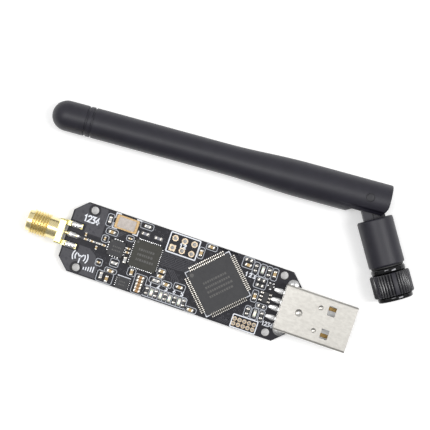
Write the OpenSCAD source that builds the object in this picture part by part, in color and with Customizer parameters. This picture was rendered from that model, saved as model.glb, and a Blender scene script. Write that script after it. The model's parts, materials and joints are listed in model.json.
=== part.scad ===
// USB stick radio spectrum analyzer with a loose, folding dipole antenna beside it.
// Frame: +X along the board from the antenna jack to the USB plug, +Z up,
// origin under the middle of the whole set, on the surface that it lies on.

/* [Board] */
// Length of the circuit board
board_l = 61; // [59:0.5:63]
// Width of the circuit board
board_w = 18.4; // [18:0.1:20]
// Thickness of the circuit board
board_t = 1.6; // [1.2:0.1:2]
// Radius of the four mounting holes
mount_hole_r = 1.0; // [0.8:0.05:1.1]
// Spacing of the mounting holes along the board
mount_dx = 50.8; // [50:0.1:52]
// Spacing of the mounting holes across the board
mount_dy = 15.24; // [14.5:0.01:15.4]

/* [Antenna jack] */
// Height of the jack's axis, which is half its square flange
jack_z = 3.175; // [3:0.005:3.3]
// Outer radius of the jack's thread
jack_thread_r = 3.175; // [3.1:0.005:3.18]
// Radius of the jack's smooth neck and lead ring
jack_neck_r = 2.7; // [2.5:0.05:2.8]
// Radius of the bore in the jack's mouth
jack_bore_r = 2.3; // [2.25:0.01:2.35]

/* [USB plug] */
// Length of the plug's metal shell
usb_l = 18.8; // [18:0.1:19.5]
// Width of the plug's metal shell
usb_w = 12.0; // [11.9:0.05:12.1]
// Height of the plug's metal shell
usb_h = 4.5; // [4.4:0.05:4.6]
// Wall of the plug's metal shell
usb_wall = 0.3; // [0.25:0.01:0.35]

/* [Antenna] */
// Length of the whip from the elbow pin to its tip
whip_l = 82.7; // [75:0.1:90]
// Radius of the whip at its thin end
whip_r = 3.87; // [3.7:0.01:4]
// Radius of the whip at the elbow
elbow_r = 4.58; // [4.5:0.01:4.7]
// Radius of the elbow pins
pin_r = 1.1; // [0.9:0.05:1.3]
// Bend of the elbow away from straight, as it lies
elbow_bend = 59.8; // [30:0.1:60]
// Radius of the fluted grip
grip_r = 5.1; // [4.9:0.05:5.2]
// Wall radius of the nut's thread
nut_thread_r = 3.2; // [3.18:0.01:3.25]

/* [Layout] */
// Middle of the board from the origin, along X
board_x = -6.92; // [-8:0.01:-6]
// Middle of the board from the origin, along Y
board_y = -14.12; // [-16:0.01:-13]
// Elbow pin from the middle of the board, along X
pivot_x = 39.0; // [38:0.1:40]
// Elbow pin from the middle of the board, along Y
pivot_y = 33.05; // [33:0.01:34]
// Height of the elbow pin's middle
pivot_z = 4.82; // [4.8:0.01:4.9]
// Turn of the whip from the board's direction
whip_yaw = 3.64; // [2:0.01:5]
// Tip of the antenna's plane about Y, as it rests on three points
plane_pitch = -0.69; // [-0.75:0.01:-0.6]
// Tip of the antenna's plane about X, as it rests on three points
plane_roll = -0.53; // [-0.6:0.01:-0.45]

/* [Hidden] */
round_fn = 96;
small_fn = 32;
board_top = 2.72;
board_bottom = board_top - board_t;
board_corner_x = 3.1;
board_corner_y = 3.0;

// Jack stations along X, from the middle of the board
flange_back = -board_l / 2 - 0.5;
flange_front = flange_back - 1.6;
neck_front = flange_front - 2.6;
thread_front = neck_front - 4.3;
jack_mouth = thread_front - 1.2;
jack_face = jack_mouth + 1.9;
jack_insulator_r = 2.05;
jack_pin_r = 0.46;
jack_leg_y = 2.6;
jack_leg_w = 1.2;
jack_leg_end = -26.95;
jack_leg_t = 1.0;

// Plug stations along X
usb_back = 26.64;
usb_front = usb_back + usb_l;
usb_tab_x = 28.3;
usb_pitch = [3.5, 1.0, -1.0, -3.5];
usb_window_x = 39.3;
usb_window_y = 3.0;
tongue_t = 1.95;
contact_t = 0.15;

// Processor package
mcu_at = [10.05, 0.05];
mcu_side = 12;
mcu_span = 14;
mcu_pitch = 0.5;
mcu_leads_per_side = 20;
mcu_h = 1.4;
mcu_standoff = 0.1;

// Other packages: place and side
radio_at = [-9.6, 0.85];
radio_side = 7;
amplifier_at = [-17.2, 0.25];
amplifier_side = 4;
regulator_at = [-12.95, -7.55];
regulator_side = 3;
logic_at = [23.0, 3.9];
logic_side = 1.1;
surge_at = [22.5, 0.8];
crystal_at = [-16.6, 6.95];

// Headers: middle, pitch, count along and across
wide_header_at = [-1.3, 6.33];
wide_pitch = 2.54;
wide_hole_r = 0.5;
wide_ring_r = 0.8;
fine_header_at = [19.5, -7.4];
fine_pitch = 1.27;
fine_hole_r = 0.3;
fine_ring_r = 0.55;
plating_t = 0.05;

// Chip parts: place on the board and turn. Size codes are length, width and height.
chip_small = [1.0, 0.5, 0.5];
chip_flat = [1.6, 0.8, 0.45];
chip_tall = [1.6, 0.8, 0.8];
small_capacitors = [
    [-25.25, 0, 0], [-23.6, 0, 0], [-20.4, 0, 0], [-25.6, 1.15, 90], [-22.1, -1.2, 90],
    [-20.7, 1.7, 90], [-20.3, -4.5, 0], [-14.6, 3.75, 0], [-14.25, 1.2, 0], [-14.25, 0.2, 0]
];
capacitors = [
    [-19.5, 3.85, 0], [-16.8, -5.6, 0], [-17.1, -7.8, 90], [-11.6, -4.15, 90],
    [-8.9, -4.7, 0], [-8.9, -5.6, 0], [-8.9, -6.5, 0], [-8.9, -7.35, 0], [-8.9, -8.2, 0],
    [-4.4, -1.5, 0], [-4.4, -2.8, 0], [-2.3, -4.3, 0], [1.1, -3.85, 0], [5.5, -8.4, 0],
    [3.5, 6.15, 90], [5.55, 8.4, 0], [15.8, 7.15, 0], [19.85, 0.2, 90], [22.9, 7.1, 90]
];
resistors = [
    [-11.4, 6.15, 0], [-7.9, 6.1, 0], [15.6, 8.4, 0], [17.9, 7.0, 90], [21.4, 7.0, 90],
    [20.2, 4.6, 0], [20.2, 3.2, 0], [22.2, -1.7, 0], [19.35, -4.0, 90], [23.1, -4.0, 90],
    [-6.5, -7.35, 90], [-4.1, -7.35, 90], [-1.6, -7.35, 90], [0.95, -7.35, 90], [3.3, -7.35, 90]
];
inductors = [
    [-20.95, 6.7, 90], [-18.7, -7.4, 90], [-11.4, 8.1, 0], [-14.2, -1.8, 90],
    [-16.5, -3.4, 0], [-5.1, -4.2, 0]
];
small_inductors = [[-21.95, 0, 0]];
lights = [
    [-5.2, -7.4, 90], [-2.75, -7.4, 90], [-0.4, -7.4, 90], [2.2, -7.4, 90],
    [19.75, 7.1, 90], [21.3, -4.0, 90]
];

// Whip stations along its own axis, from the elbow pin
tip_centre = -whip_l + whip_r;
cap_back = -73.8;
groove_w = 0.5;
groove_depth = 0.25;
second_groove = -72.05;
flare_thin = -38;
flare_wide = -17;
flare_steps = 10;
fork_end = 5.25;
fork_slot = 4.2;
fork_slot_floor = -3.2;
fork_back_wall = 2.85;
fork_round_r = 5.4;
fork_flat = -3.6;
whip_bore_r = 2.6;
whip_bore_end = -9;
cable_r = 0.7;
cable_hole_r = 0.75;
radiator_r = 0.5;
radiator_joint = -41.5;
radiator_end = -69;

// Base stations along its own axis, from the elbow pin
sleeve_back = 5.5;
sleeve_front = 17.6;
sleeve_r = 4.6;
sleeve_bore_r = 3.0;
sleeve_bore_back = 9.2;
tongue_w = 5.4;
tongue_h = 4.0;
tongue_hole_r = 1.15;
cable_channel_h = 1.8;
cable_channel_end = 2.75;
elbow_cable_reach = 2.6;
barrel_back = 9.3;
barrel_r = 2.95;
collar_back = 18.0;
collar_front = 19.5;
ferrule_back = 21.4;
ferrule_front = 22.5;
ferrule_r = 2.28;
nut_wall_back = 22.7;
grip_front = 25.25;
nut_mouth = 26.5;
ridge_step = 9;
ridge_depth = 0.35;
grip_turn = 6;

// Places

module on_board() {
    translate([board_x, board_y, 0]) children();
}

module on_board_top() {
    translate([board_x, board_y, board_top]) children();
}

module in_plane() {
    translate([board_x + pivot_x, board_y + pivot_y, pivot_z])
        rotate([plane_roll, plane_pitch, 0]) children();
}

module in_whip() {
    in_plane() rotate([0, 0, whip_yaw]) children();
}

module in_base() {
    in_plane() rotate([0, 0, whip_yaw - elbow_bend]) children();
}

// Shapes

// A profile of [radius, x] points turned about the X axis.
module turned(points) {
    rotate([0, 90, 0]) rotate_extrude($fn = round_fn) polygon(points);
}

// A round bar along X between two stations.
module bar(r, from, to, fn = round_fn) {
    translate([from, 0, 0]) rotate([0, 90, 0]) cylinder(r = r, h = to - from, $fn = fn);
}

// A block on the board, middle at [x, y], from height z.
module block(l, w, h, z = 0) {
    translate([-l / 2, -w / 2, z]) cube([l, w, h]);
}

module at_each(places) {
    for (p = places) translate([p[0], p[1], 0]) rotate([0, 0, p[2]]) children();
}

module chip_body(size) {
    block(size[0] - 0.5 * size[1], size[1], size[2]);
}

module chip_ends(size) {
    end = 0.25 * size[1];
    for (side = [-1, 1])
        translate([side * (size[0] - end) / 2, 0, 0]) block(end, size[1], size[2] + 0.02);
}

// A bent lead running out along X: under the package, down, and flat on the board.
module gull_lead(out, foot, shoulder, w) {
    t = 0.13;
    knee = out - foot;
    rotate([90, 0, 0]) translate([0, 0, -w / 2]) linear_extrude(w)
        polygon([
            [knee - 0.55, shoulder], [knee - 0.2, shoulder], [knee, 0], [out, 0],
            [out, t], [knee + 0.1, t], [knee - 0.1, shoulder + t], [knee - 0.55, shoulder + t]
        ]);
}

module header_holes(at, pitch, columns, r) {
    for (i = [0 : columns - 1], j = [0, 1])
        translate([at[0] + (i - (columns - 1) / 2) * pitch, at[1] + (j - 0.5) * pitch])
            circle(r = r, $fn = small_fn);
}

// Plated holes: a tube through the board with a flat ring on each face.
module plated_barrels(at, pitch, columns, hole_r, ring_r) {
    wall_r = hole_r + plating_t;
    for (i = [0 : columns - 1], j = [0, 1])
        translate([at[0] + (i - (columns - 1) / 2) * pitch, at[1] + (j - 0.5) * pitch, 0])
            rotate_extrude($fn = small_fn)
                polygon([
                    [hole_r, board_bottom - plating_t], [ring_r, board_bottom - plating_t],
                    [ring_r, board_bottom], [wall_r, board_bottom], [wall_r, board_top],
                    [ring_r, board_top], [ring_r, board_top + plating_t],
                    [hole_r, board_top + plating_t]
                ]);
}

// Board

module board_outline() {
    x = board_l / 2;
    y = board_w / 2;
    polygon([
        [-x + board_corner_x, -y], [x - board_corner_x, -y], [x, -y + board_corner_y],
        [x, y - board_corner_y], [x - board_corner_x, y], [-x + board_corner_x, y],
        [-x, y - board_corner_y], [-x, -y + board_corner_y]
    ]);
}

module circuit_board() {
    color("#3b3b40") on_board() translate([0, 0, board_bottom]) linear_extrude(board_t)
        difference() {
            board_outline();
            for (sx = [-1, 1], sy = [-1, 1])
                translate([sx * mount_dx / 2, sy * mount_dy / 2])
                    circle(r = mount_hole_r, $fn = small_fn);
            header_holes(wide_header_at, wide_pitch, 3, wide_hole_r + plating_t);
            header_holes(fine_header_at, fine_pitch, 5, fine_hole_r + plating_t);
            for (side = [-1, 1])
                translate([usb_tab_x, side * (usb_w / 2 - usb_wall / 2)])
                    circle(r = 0.75, $fn = small_fn);
        }
}

// Antenna jack

module jack_leg(y, z) {
    translate([flange_back, y - jack_leg_w / 2, z])
        cube([jack_leg_end - flange_back, jack_leg_w, jack_leg_t]);
}

module jack_body() {
    color("#e3c88a") on_board() difference() {
        union() {
            translate([flange_front, -jack_z, 0])
                cube([flange_back - flange_front, 2 * jack_z, 2 * jack_z]);
            translate([0, 0, jack_z])
                turned([
                    [0, jack_mouth], [jack_neck_r - 0.2, jack_mouth],
                    [jack_neck_r, jack_mouth + 0.2], [jack_neck_r, thread_front],
                    [jack_thread_r, thread_front], [jack_thread_r, neck_front],
                    [jack_neck_r, neck_front], [jack_neck_r, flange_front + 0.1],
                    [0, flange_front + 0.1]
                ]);
            for (side = [-1, 1]) {
                jack_leg(side * jack_leg_y, board_top);
                jack_leg(side * jack_leg_y, board_bottom - jack_leg_t);
            }
        }
        translate([0, 0, jack_z]) {
            bar(jack_bore_r, jack_mouth - 1, jack_face);
            bar(jack_insulator_r, jack_face - 0.5, flange_back + 0.5);
        }
    }
}

module jack_insulator() {
    color("#f4f2ea") on_board() translate([0, 0, jack_z]) difference() {
        bar(jack_insulator_r, jack_face, flange_back);
        bar(jack_pin_r, jack_face - 1, flange_back + 1, small_fn);
    }
}

module jack_centre_pin() {
    color("#e0c070") on_board() translate([0, 0, jack_z])
        turned([
            [0, jack_mouth + 0.5], [0.2, jack_mouth + 0.5], [jack_pin_r, jack_mouth + 0.9],
            [jack_pin_r, -27.6], [0, -27.6]
        ]);
}

// Solder runs beside each leg, and under its end, on both faces of the board.
module jack_solder() {
    run_l = 3.4;
    run_w = 0.5;
    middle = -28.75;
    color("#c9c9cc") on_board()
        for (side = [-1, 1], edge = [-1, 1]) {
            y = side * jack_leg_y + edge * (jack_leg_w + run_w) / 2;
            translate([middle, y, board_top]) block(run_l, run_w, 0.5);
            translate([middle, y, board_bottom - 0.5]) block(run_l, run_w, 0.5);
        }
}

// USB plug

module usb_shell() {
    inner_w = usb_w - 2 * usb_wall;
    inner_h = usb_h - 2 * usb_wall;
    color("#d8d4cc") on_board() {
        difference() {
            translate([usb_back, -usb_w / 2, board_top]) cube([usb_l, usb_w, usb_h]);
            translate([usb_back - 1, -inner_w / 2, board_top + usb_wall])
                cube([usb_l + 2, inner_w, inner_h]);
            for (side = [-1, 1])
                translate([usb_window_x, side * usb_window_y, board_top - 1])
                    block(2.0, 2.5, usb_h + 2);
        }
        for (side = [-1, 1])
            translate([usb_tab_x, side * (usb_w / 2 - usb_wall / 2), 0])
                block(1.2, usb_wall, board_top + 0.1);
    }
}

module usb_tongue() {
    inner_w = usb_w - 2 * usb_wall;
    floor_z = board_top + usb_wall;
    back_l = 5;
    color("#f2f2f0") on_board() difference() {
        union() {
            translate([usb_back + 0.1, -inner_w / 2, floor_z])
                cube([back_l, inner_w, usb_h - 2 * usb_wall]);
            translate([usb_back + 0.1, -inner_w / 2, floor_z])
                cube([usb_l - 0.5, inner_w, tongue_t]);
        }
        for (y = usb_pitch)
            translate([usb_back - 1, y - 0.5, floor_z + tongue_t - contact_t])
                cube([usb_l, 1.0, contact_t]);
    }
}

module usb_contacts() {
    lead_z = board_top + usb_wall + tongue_t - contact_t;
    color("#d9a84e") on_board() for (y = usb_pitch) {
        translate([usb_back + 0.1, y - 0.5, lead_z]) cube([usb_l - 1.2, 1.0, contact_t]);
        translate([usb_back - 2.2, y + 0.35, 0]) rotate([90, 0, 0])
            linear_extrude(0.7)
                polygon([
                    [0, board_top], [1.2, board_top], [1.7, lead_z], [2.3, lead_z],
                    [2.3, lead_z + contact_t], [1.55, lead_z + contact_t],
                    [1.05, board_top + contact_t], [0, board_top + contact_t]
                ]);
    }
}

module usb_solder() {
    color("#c9c9cc") on_board() {
        for (side = [-1, 1])
            translate([usb_tab_x, side * (usb_w / 2 - usb_wall / 2), 0]) difference() {
                union() {
                    translate([0, 0, board_bottom - 0.35])
                        cylinder(r1 = 0.95, r2 = 1.4, h = 0.35, $fn = small_fn);
                    translate([0, 0, board_bottom])
                        cylinder(r = 0.75, h = board_t, $fn = small_fn);
                }
                block(1.2, usb_wall, board_top + 1, -1);
            }
        for (y = usb_pitch, edge = [-1, 1])
            translate([usb_back - 1.7, y + 0.45 * edge, board_top]) block(1.2, 0.2, 0.2);
    }
}

// Packages

module processor_package() {
    color("#4a4a4e") on_board_top() translate([mcu_at[0], mcu_at[1], mcu_standoff])
        rotate([0, 0, 45]) block(mcu_side, mcu_side, mcu_h);
}

module processor_leads() {
    shoulder = mcu_standoff + mcu_h / 2 - 0.06;
    color("#b9b9bd") on_board_top() translate([mcu_at[0], mcu_at[1], 0])
        for (quarter = [0 : 3], i = [0 : mcu_leads_per_side - 1])
            rotate([0, 0, 45 + 90 * quarter])
                translate([0, (i - (mcu_leads_per_side - 1) / 2) * mcu_pitch, 0])
                    gull_lead(mcu_span / 2, 0.45, shoulder, 0.22);
}

module flat_package(at, side, h) {
    on_board_top() translate([at[0], at[1], 0.05]) block(side, side, h);
}

module edge_pads(at, side, per_side, pitch, w, turns = [0, 90, 180, 270]) {
    reach = 0.35;
    on_board_top() translate([at[0], at[1], 0])
        for (turn = turns, i = [0 : per_side - 1])
            rotate([0, 0, turn])
                translate([side / 2 + reach / 2, (i - (per_side - 1) / 2) * pitch, 0])
                    block(reach, w, 0.12);
}

module radio_package() {
    color("#4c4a46") flat_package(radio_at, radio_side, 0.85);
}

module radio_pads() {
    color("#c9c9cc") edge_pads(radio_at, radio_side, 12, 0.5, 0.26);
}

module amplifier_package() {
    color("#4c4a46") flat_package(amplifier_at, amplifier_side, 0.8);
}

module amplifier_pads() {
    color("#c9c9cc") edge_pads(amplifier_at, amplifier_side, 4, 0.65, 0.32);
}

module regulator_package() {
    color("#4a4a4e") flat_package(regulator_at, regulator_side, 0.85);
}

module regulator_pads() {
    color("#c9c9cc") edge_pads(regulator_at, regulator_side, 5, 0.5, 0.24, [0, 180]);
}

module logic_package() {
    color("#4a4a4e") flat_package(logic_at, logic_side, 0.5);
}

module logic_pads() {
    color("#c9c9cc") {
        edge_pads(logic_at, logic_side, 2, 0.9, 0.4, [90]);
        edge_pads(logic_at, logic_side, 1, 1, 0.4, [0, 180, 270]);
    }
}

module surge_package() {
    color("#4a4a4e") on_board_top() translate([surge_at[0], surge_at[1], mcu_standoff])
        block(1.6, 2.9, 1.0);
}

module surge_leads() {
    color("#c9c9cc") on_board_top() translate([surge_at[0], surge_at[1], 0])
        for (side = [0, 180], i = [-1 : 1])
            rotate([0, 0, side]) translate([0, i * 0.95, 0]) gull_lead(1.45, 0.2, 0.5, 0.38);
}

module crystal_base() {
    color("#d9a860") on_board_top() translate([crystal_at[0], crystal_at[1], 0])
        block(5.9, 3.5, 0.85);
}

module crystal_lid() {
    color("#c3beba") on_board_top() translate([crystal_at[0], crystal_at[1], 0.85])
        block(4.5, 2.7, 0.3);
}

// Chip parts

module capacitor_bodies() {
    color("#b08a4e") on_board_top() {
        at_each(capacitors) chip_body(chip_tall);
        at_each(small_capacitors) chip_body(chip_small);
    }
}

module capacitor_ends() {
    color("#cfcfd2") on_board_top() {
        at_each(capacitors) chip_ends(chip_tall);
        at_each(small_capacitors) chip_ends(chip_small);
    }
}

module resistor_bodies() {
    color("#2b2b2e") on_board_top() at_each(resistors) chip_body(chip_flat);
}

module resistor_ends() {
    color("#cfcfd2") on_board_top() at_each(resistors) chip_ends(chip_flat);
}

module inductor_bodies() {
    color("#e4e4e6") on_board_top() {
        at_each(inductors) chip_body(chip_tall);
        at_each(small_inductors) chip_body(chip_small);
    }
}

module inductor_ends() {
    color("#cfcfd2") on_board_top() {
        at_each(inductors) chip_ends(chip_tall);
        at_each(small_inductors) chip_ends(chip_small);
    }
}

module light_bases() {
    color("#d8d6c4") on_board_top() at_each(lights) block(1.6, 0.8, 0.25);
}

module light_lenses() {
    color("#f0e8b0") on_board_top() at_each(lights) block(1.0, 0.8, 0.4, 0.25);
}

module wide_header_barrels() {
    color("#ebd7aa") on_board()
        plated_barrels(wide_header_at, wide_pitch, 3, wide_hole_r, wide_ring_r);
}

module fine_header_barrels() {
    color("#ebd7aa") on_board()
        plated_barrels(fine_header_at, fine_pitch, 5, fine_hole_r, fine_ring_r);
}

// Antenna whip

function flare_r(t) = whip_r + (elbow_r - whip_r) * (1 - cos(180 * t)) / 2;

module whip_outside() {
    groove_r = whip_r - groove_depth;
    turned(concat(
        [
            [0, cap_back], [groove_r, cap_back], [groove_r, cap_back + groove_w],
            [whip_r, cap_back + groove_w], [whip_r, second_groove - groove_w / 2],
            [groove_r, second_groove - groove_w / 2], [groove_r, second_groove + groove_w / 2],
            [whip_r, second_groove + groove_w / 2]
        ],
        [
            for (i = [0 : flare_steps])
                [flare_r(i / flare_steps), flare_thin + (flare_wide - flare_thin) * i / flare_steps]
        ],
        [[elbow_r, fork_end - 0.4], [elbow_r - 0.4, fork_end], [0, fork_end]]
    ));
}

// What the fork loses on the side that the base swings to. Its other side is closed, which
// stops the base when it is straight.
module fork_relief() {
    deep = 2 * elbow_r + 2;
    translate([0, 0, -deep / 2]) linear_extrude(deep) {
        difference() {
            translate([0, -2 * elbow_r]) square([2 * elbow_r, 2 * elbow_r]);
            circle(r = fork_round_r, $fn = round_fn);
        }
        polygon([[-5.2, -elbow_r - 0.1], [-3.3, fork_flat], [3.5, fork_flat], [4.6, -elbow_r - 0.1]]);
    }
}

module whip_tube() {
    color("#3d3d40") in_whip() difference() {
        whip_outside();
        bar(whip_bore_r, cap_back - 1, whip_bore_end);
        bar(cable_hole_r, whip_bore_end - 1, 0, small_fn);
        translate([fork_slot_floor, -2 * elbow_r, -fork_slot / 2])
            cube([2 * fork_end, 2 * elbow_r + fork_back_wall, fork_slot]);
        translate([0, 0, -2 * elbow_r]) cylinder(r = pin_r, h = 4 * elbow_r, $fn = small_fn);
        fork_relief();
    }
}

module tip_cap() {
    arc_steps = 14;
    spigot_r = whip_bore_r;
    color("#3d3d40") in_whip() turned(concat(
        [
            for (i = [0 : arc_steps])
                [whip_r * sin(90 * i / arc_steps), tip_centre - whip_r * cos(90 * i / arc_steps)]
        ],
        [[whip_r, cap_back], [spigot_r, cap_back], [spigot_r, cap_back + 3.3], [0, cap_back + 3.3]]
    ));
}

module radiator_wire() {
    color("#c8783c") in_whip() bar(radiator_r, radiator_end, radiator_joint, small_fn);
}

module balun_sleeve() {
    outer = 2.2;
    wall = 0.25;
    closed = -41;
    opening = -14;
    color("#c9a24a") in_whip() turned([
        [cable_r, closed], [outer, closed], [outer, opening], [outer - wall, opening],
        [outer - wall, closed + 0.5], [cable_r, closed + 0.5]
    ]);
}

module whip_cable() {
    color("#26262a") in_whip() bar(cable_r, radiator_joint, -2.75, small_fn);
}

module spacer(hole_r, at) {
    turned([
        [hole_r, at], [whip_bore_r, at], [whip_bore_r, at + 1.5], [hole_r, at + 1.5]
    ]);
}

module whip_spacers() {
    color("#e8e8e4") in_whip() {
        spacer(radiator_r, -67);
        spacer(cable_r, -12.5);
    }
}

// Two stub pins, pressed into the fork's cheeks; the cable passes between them.
module elbow_pins() {
    pin_inner = cable_channel_h / 2 + 0.1;
    pin_outer = 4.35;
    color("#8e8e92") in_whip() for (side = [0, 180])
        rotate([side, 0, 0]) translate([0, 0, pin_inner])
            cylinder(r = pin_r, h = pin_outer - pin_inner, $fn = small_fn);
}

// Antenna base

module tongue_outline() {
    circle(r = tongue_w / 2, $fn = round_fn);
    translate([0, -tongue_w / 2 + 0.05]) square([sleeve_back + 0.5, tongue_w - 0.1]);
}

module swivel_base() {
    edge = 0.3;
    ridge_r = 3.35;
    color("#3d3d40") in_base() difference() {
        union() {
            turned([
                [0, sleeve_back], [sleeve_r - edge, sleeve_back], [sleeve_r, sleeve_back + edge],
                [sleeve_r, sleeve_front - edge], [sleeve_r - edge, sleeve_front], [0, sleeve_front]
            ]);
            translate([0, 0, -tongue_h / 2]) linear_extrude(tongue_h) tongue_outline();
        }
        bar(sleeve_bore_r, sleeve_bore_back, sleeve_front + 1);
        bar(ridge_r, 11.1, 12.3);
        bar(cable_hole_r + 0.1, 0, sleeve_bore_back + 1, small_fn);
        translate([-tongue_w, -tongue_w, -cable_channel_h / 2])
            cube([tongue_w + cable_channel_end, 2 * tongue_w, cable_channel_h]);
        translate([0, 0, -tongue_h]) cylinder(r = tongue_hole_r, h = 2 * tongue_h, $fn = small_fn);
    }
}

// The bent stretch of cable between the base and the whip, inside the tongue's channel.
module elbow_cable() {
    bend_r = elbow_cable_reach / tan(elbow_bend / 2);
    color("#26262a") in_base() translate([elbow_cable_reach, -bend_r, 0])
        rotate([0, 0, 90]) rotate_extrude(angle = elbow_bend, $fn = round_fn)
            translate([bend_r, 0]) circle(r = cable_r, $fn = small_fn);
}

module connector_barrel() {
    ridge_r = 3.25;
    flange_r = 4.1;
    ring_r = 2.45;
    color("#3a3a3c") in_base() turned([
        [cable_hole_r, barrel_back], [barrel_r, barrel_back], [barrel_r, 11.2], [ridge_r, 11.2],
        [ridge_r, 12.2], [barrel_r, 12.2], [barrel_r, 17.65], [flange_r, 17.65],
        [flange_r, 17.95], [barrel_r, 17.95], [barrel_r, 19.8], [ring_r, 19.8], [ring_r, 20.5],
        [barrel_r, 20.5], [barrel_r, ferrule_back], [ferrule_r, ferrule_back],
        [ferrule_r, ferrule_front], [jack_insulator_r, ferrule_front], [jack_insulator_r, 12],
        [cable_hole_r, 12]
    ]);
}

module connector_insulator() {
    color("#f4f2ea") in_base() turned([
        [0.64, 12.6], [jack_insulator_r, 12.6], [jack_insulator_r, 22.3], [0.64, 22.3]
    ]);
}

module connector_contact() {
    socket_r = 0.48;
    color("#e0c070") in_base() turned([
        [0, 12.6], [0.64, 12.6], [0.64, 22.3], [socket_r, 22.3], [socket_r, 19.6], [0, 19.6]
    ]);
}

module base_cable() {
    color("#26262a") in_base() bar(cable_r, cable_channel_end, 12.6, small_fn);
}

module snap_ring() {
    gap = 30;
    color("#b0a890") in_base() rotate([0, 90, 0])
        rotate_extrude(angle = 360 - gap, $fn = round_fn)
            polygon([[2.5, 19.85], [3.25, 19.85], [3.25, 20.45], [2.5, 20.45]]);
}

module coupling_nut() {
    bore_r = 3.02;
    groove_r = 3.32;
    body_r = 4.3;
    color("#232325") in_base() turned([
        [bore_r, collar_back], [4.2, collar_back], [4.4, collar_back + 0.2],
        [4.4, collar_front], [body_r, collar_front], [body_r, grip_front + 0.05],
        [4.5, grip_front + 0.05], [4.5, nut_mouth - 0.2], [4.3, nut_mouth],
        [nut_thread_r + 0.2, nut_mouth], [nut_thread_r, nut_mouth - 0.2],
        [nut_thread_r, nut_wall_back], [bore_r, nut_wall_back], [bore_r, 20.55],
        [groove_r, 20.55], [groove_r, 19.75], [bore_r, 19.75]
    ]);
}

// Six groups of five ridges, with a smooth facet between the groups.
module nut_grip() {
    crest = 1.4;
    valley_r = grip_r - ridge_depth;
    function around(r, a) = [r * cos(a), r * sin(a)];
    color("#2c2c2f") in_base() translate([collar_front, 0, 0]) rotate([0, 90, 0])
        linear_extrude(grip_front - collar_front) difference() {
            polygon([
                for (group = [0 : 5], i = [0 : 4])
                    let (a = grip_turn + 60 * group + ridge_step * i)
                        each concat(
                            [around(grip_r, a - crest), around(grip_r, a + crest)],
                            i < 4
                                ? [around(valley_r, a + ridge_step / 2 - crest),
                                   around(valley_r, a + ridge_step / 2 + crest)]
                                : []
                        )
            ]);
            circle(r = 4.3, $fn = round_fn);
        }
}

circuit_board();
jack_body();
jack_insulator();
jack_centre_pin();
jack_solder();
usb_shell();
usb_tongue();
usb_contacts();
usb_solder();
processor_package();
processor_leads();
radio_package();
radio_pads();
amplifier_package();
amplifier_pads();
regulator_package();
regulator_pads();
surge_package();
surge_leads();
logic_package();
logic_pads();
crystal_base();
crystal_lid();
capacitor_bodies();
capacitor_ends();
resistor_bodies();
resistor_ends();
inductor_bodies();
inductor_ends();
light_bases();
light_lenses();
wide_header_barrels();
fine_header_barrels();
whip_tube();
tip_cap();
radiator_wire();
balun_sleeve();
whip_cable();
whip_spacers();
elbow_pins();
swivel_base();
elbow_cable();
connector_barrel();
connector_insulator();
connector_contact();
base_cable();
snap_ring();
coupling_nut();
nut_grip();
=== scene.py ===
import json
import math
import random

import bmesh
import bpy
from mathutils import Matrix, Vector


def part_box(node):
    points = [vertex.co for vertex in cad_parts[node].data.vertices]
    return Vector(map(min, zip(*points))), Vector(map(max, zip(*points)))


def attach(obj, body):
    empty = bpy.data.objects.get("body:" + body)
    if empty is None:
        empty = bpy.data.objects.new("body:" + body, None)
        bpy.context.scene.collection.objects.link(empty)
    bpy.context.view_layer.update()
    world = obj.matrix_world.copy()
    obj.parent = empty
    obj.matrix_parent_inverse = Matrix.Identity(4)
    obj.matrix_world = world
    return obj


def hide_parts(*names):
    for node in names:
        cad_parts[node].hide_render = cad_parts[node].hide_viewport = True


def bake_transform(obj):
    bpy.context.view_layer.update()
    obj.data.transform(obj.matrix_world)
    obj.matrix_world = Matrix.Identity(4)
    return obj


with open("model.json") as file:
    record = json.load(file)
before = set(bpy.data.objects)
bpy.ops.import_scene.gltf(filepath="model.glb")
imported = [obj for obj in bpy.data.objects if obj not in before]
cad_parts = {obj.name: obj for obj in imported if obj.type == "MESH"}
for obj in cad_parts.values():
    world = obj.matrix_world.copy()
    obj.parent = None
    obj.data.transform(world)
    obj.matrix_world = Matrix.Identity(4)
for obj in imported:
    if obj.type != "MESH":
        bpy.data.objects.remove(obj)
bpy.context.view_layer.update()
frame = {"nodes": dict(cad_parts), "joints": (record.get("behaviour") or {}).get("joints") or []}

MM = 0.001
SMOOTH_ANGLE = math.radians(35)
dice = random.Random(7)

# ---------------------------------------------------------------- places from the frame


def corners(node):
    """A node's lowest and highest corners, in millimetres."""
    low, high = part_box(node)
    return Vector(low) / MM, Vector(high) / MM


def joint(name):
    return next(j for j in frame["joints"] if j["name"] == name)


def size_of(node):
    low, high = corners(node)
    return high.x - low.x, high.y - low.y, high.z - low.z


board_low, board_high = corners("circuit_board")
board_mid = (board_low + board_high) / 2
board_l = board_high.x - board_low.x
board_w = board_high.y - board_low.y
board_t = board_high.z - board_low.z
plug_low, plug_high = corners("usb_shell")
jack_low, jack_high = corners("jack_body")


def seat_of(node):
    """How high a node's underside is over the board's upper face."""
    return corners(node)[0].z - board_high.z



hinge_axis = Vector(joint("elbow_tilt")["axis"]).normalized()
base_axis = Vector(joint("base_swivel")["axis"]).normalized()
pivot = Vector(joint("elbow_tilt")["pos_m"]) / MM
elbow_bend = math.radians(joint("elbow_tilt")["range_deg"][1])
whip_axis = Matrix.Rotation(elbow_bend, 3, hinge_axis) @ base_axis


def frame_along(x_axis, z_axis, origin):
    """The matrix of a local frame, from its millimetres to the row's metres."""
    x = x_axis.normalized()
    z = (z_axis - x * z_axis.dot(x)).normalized()
    y = z.cross(x)
    turn = Matrix((x, y, z)).transposed().to_4x4()
    return Matrix.Scale(MM, 4) @ Matrix.Translation(origin) @ turn


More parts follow.
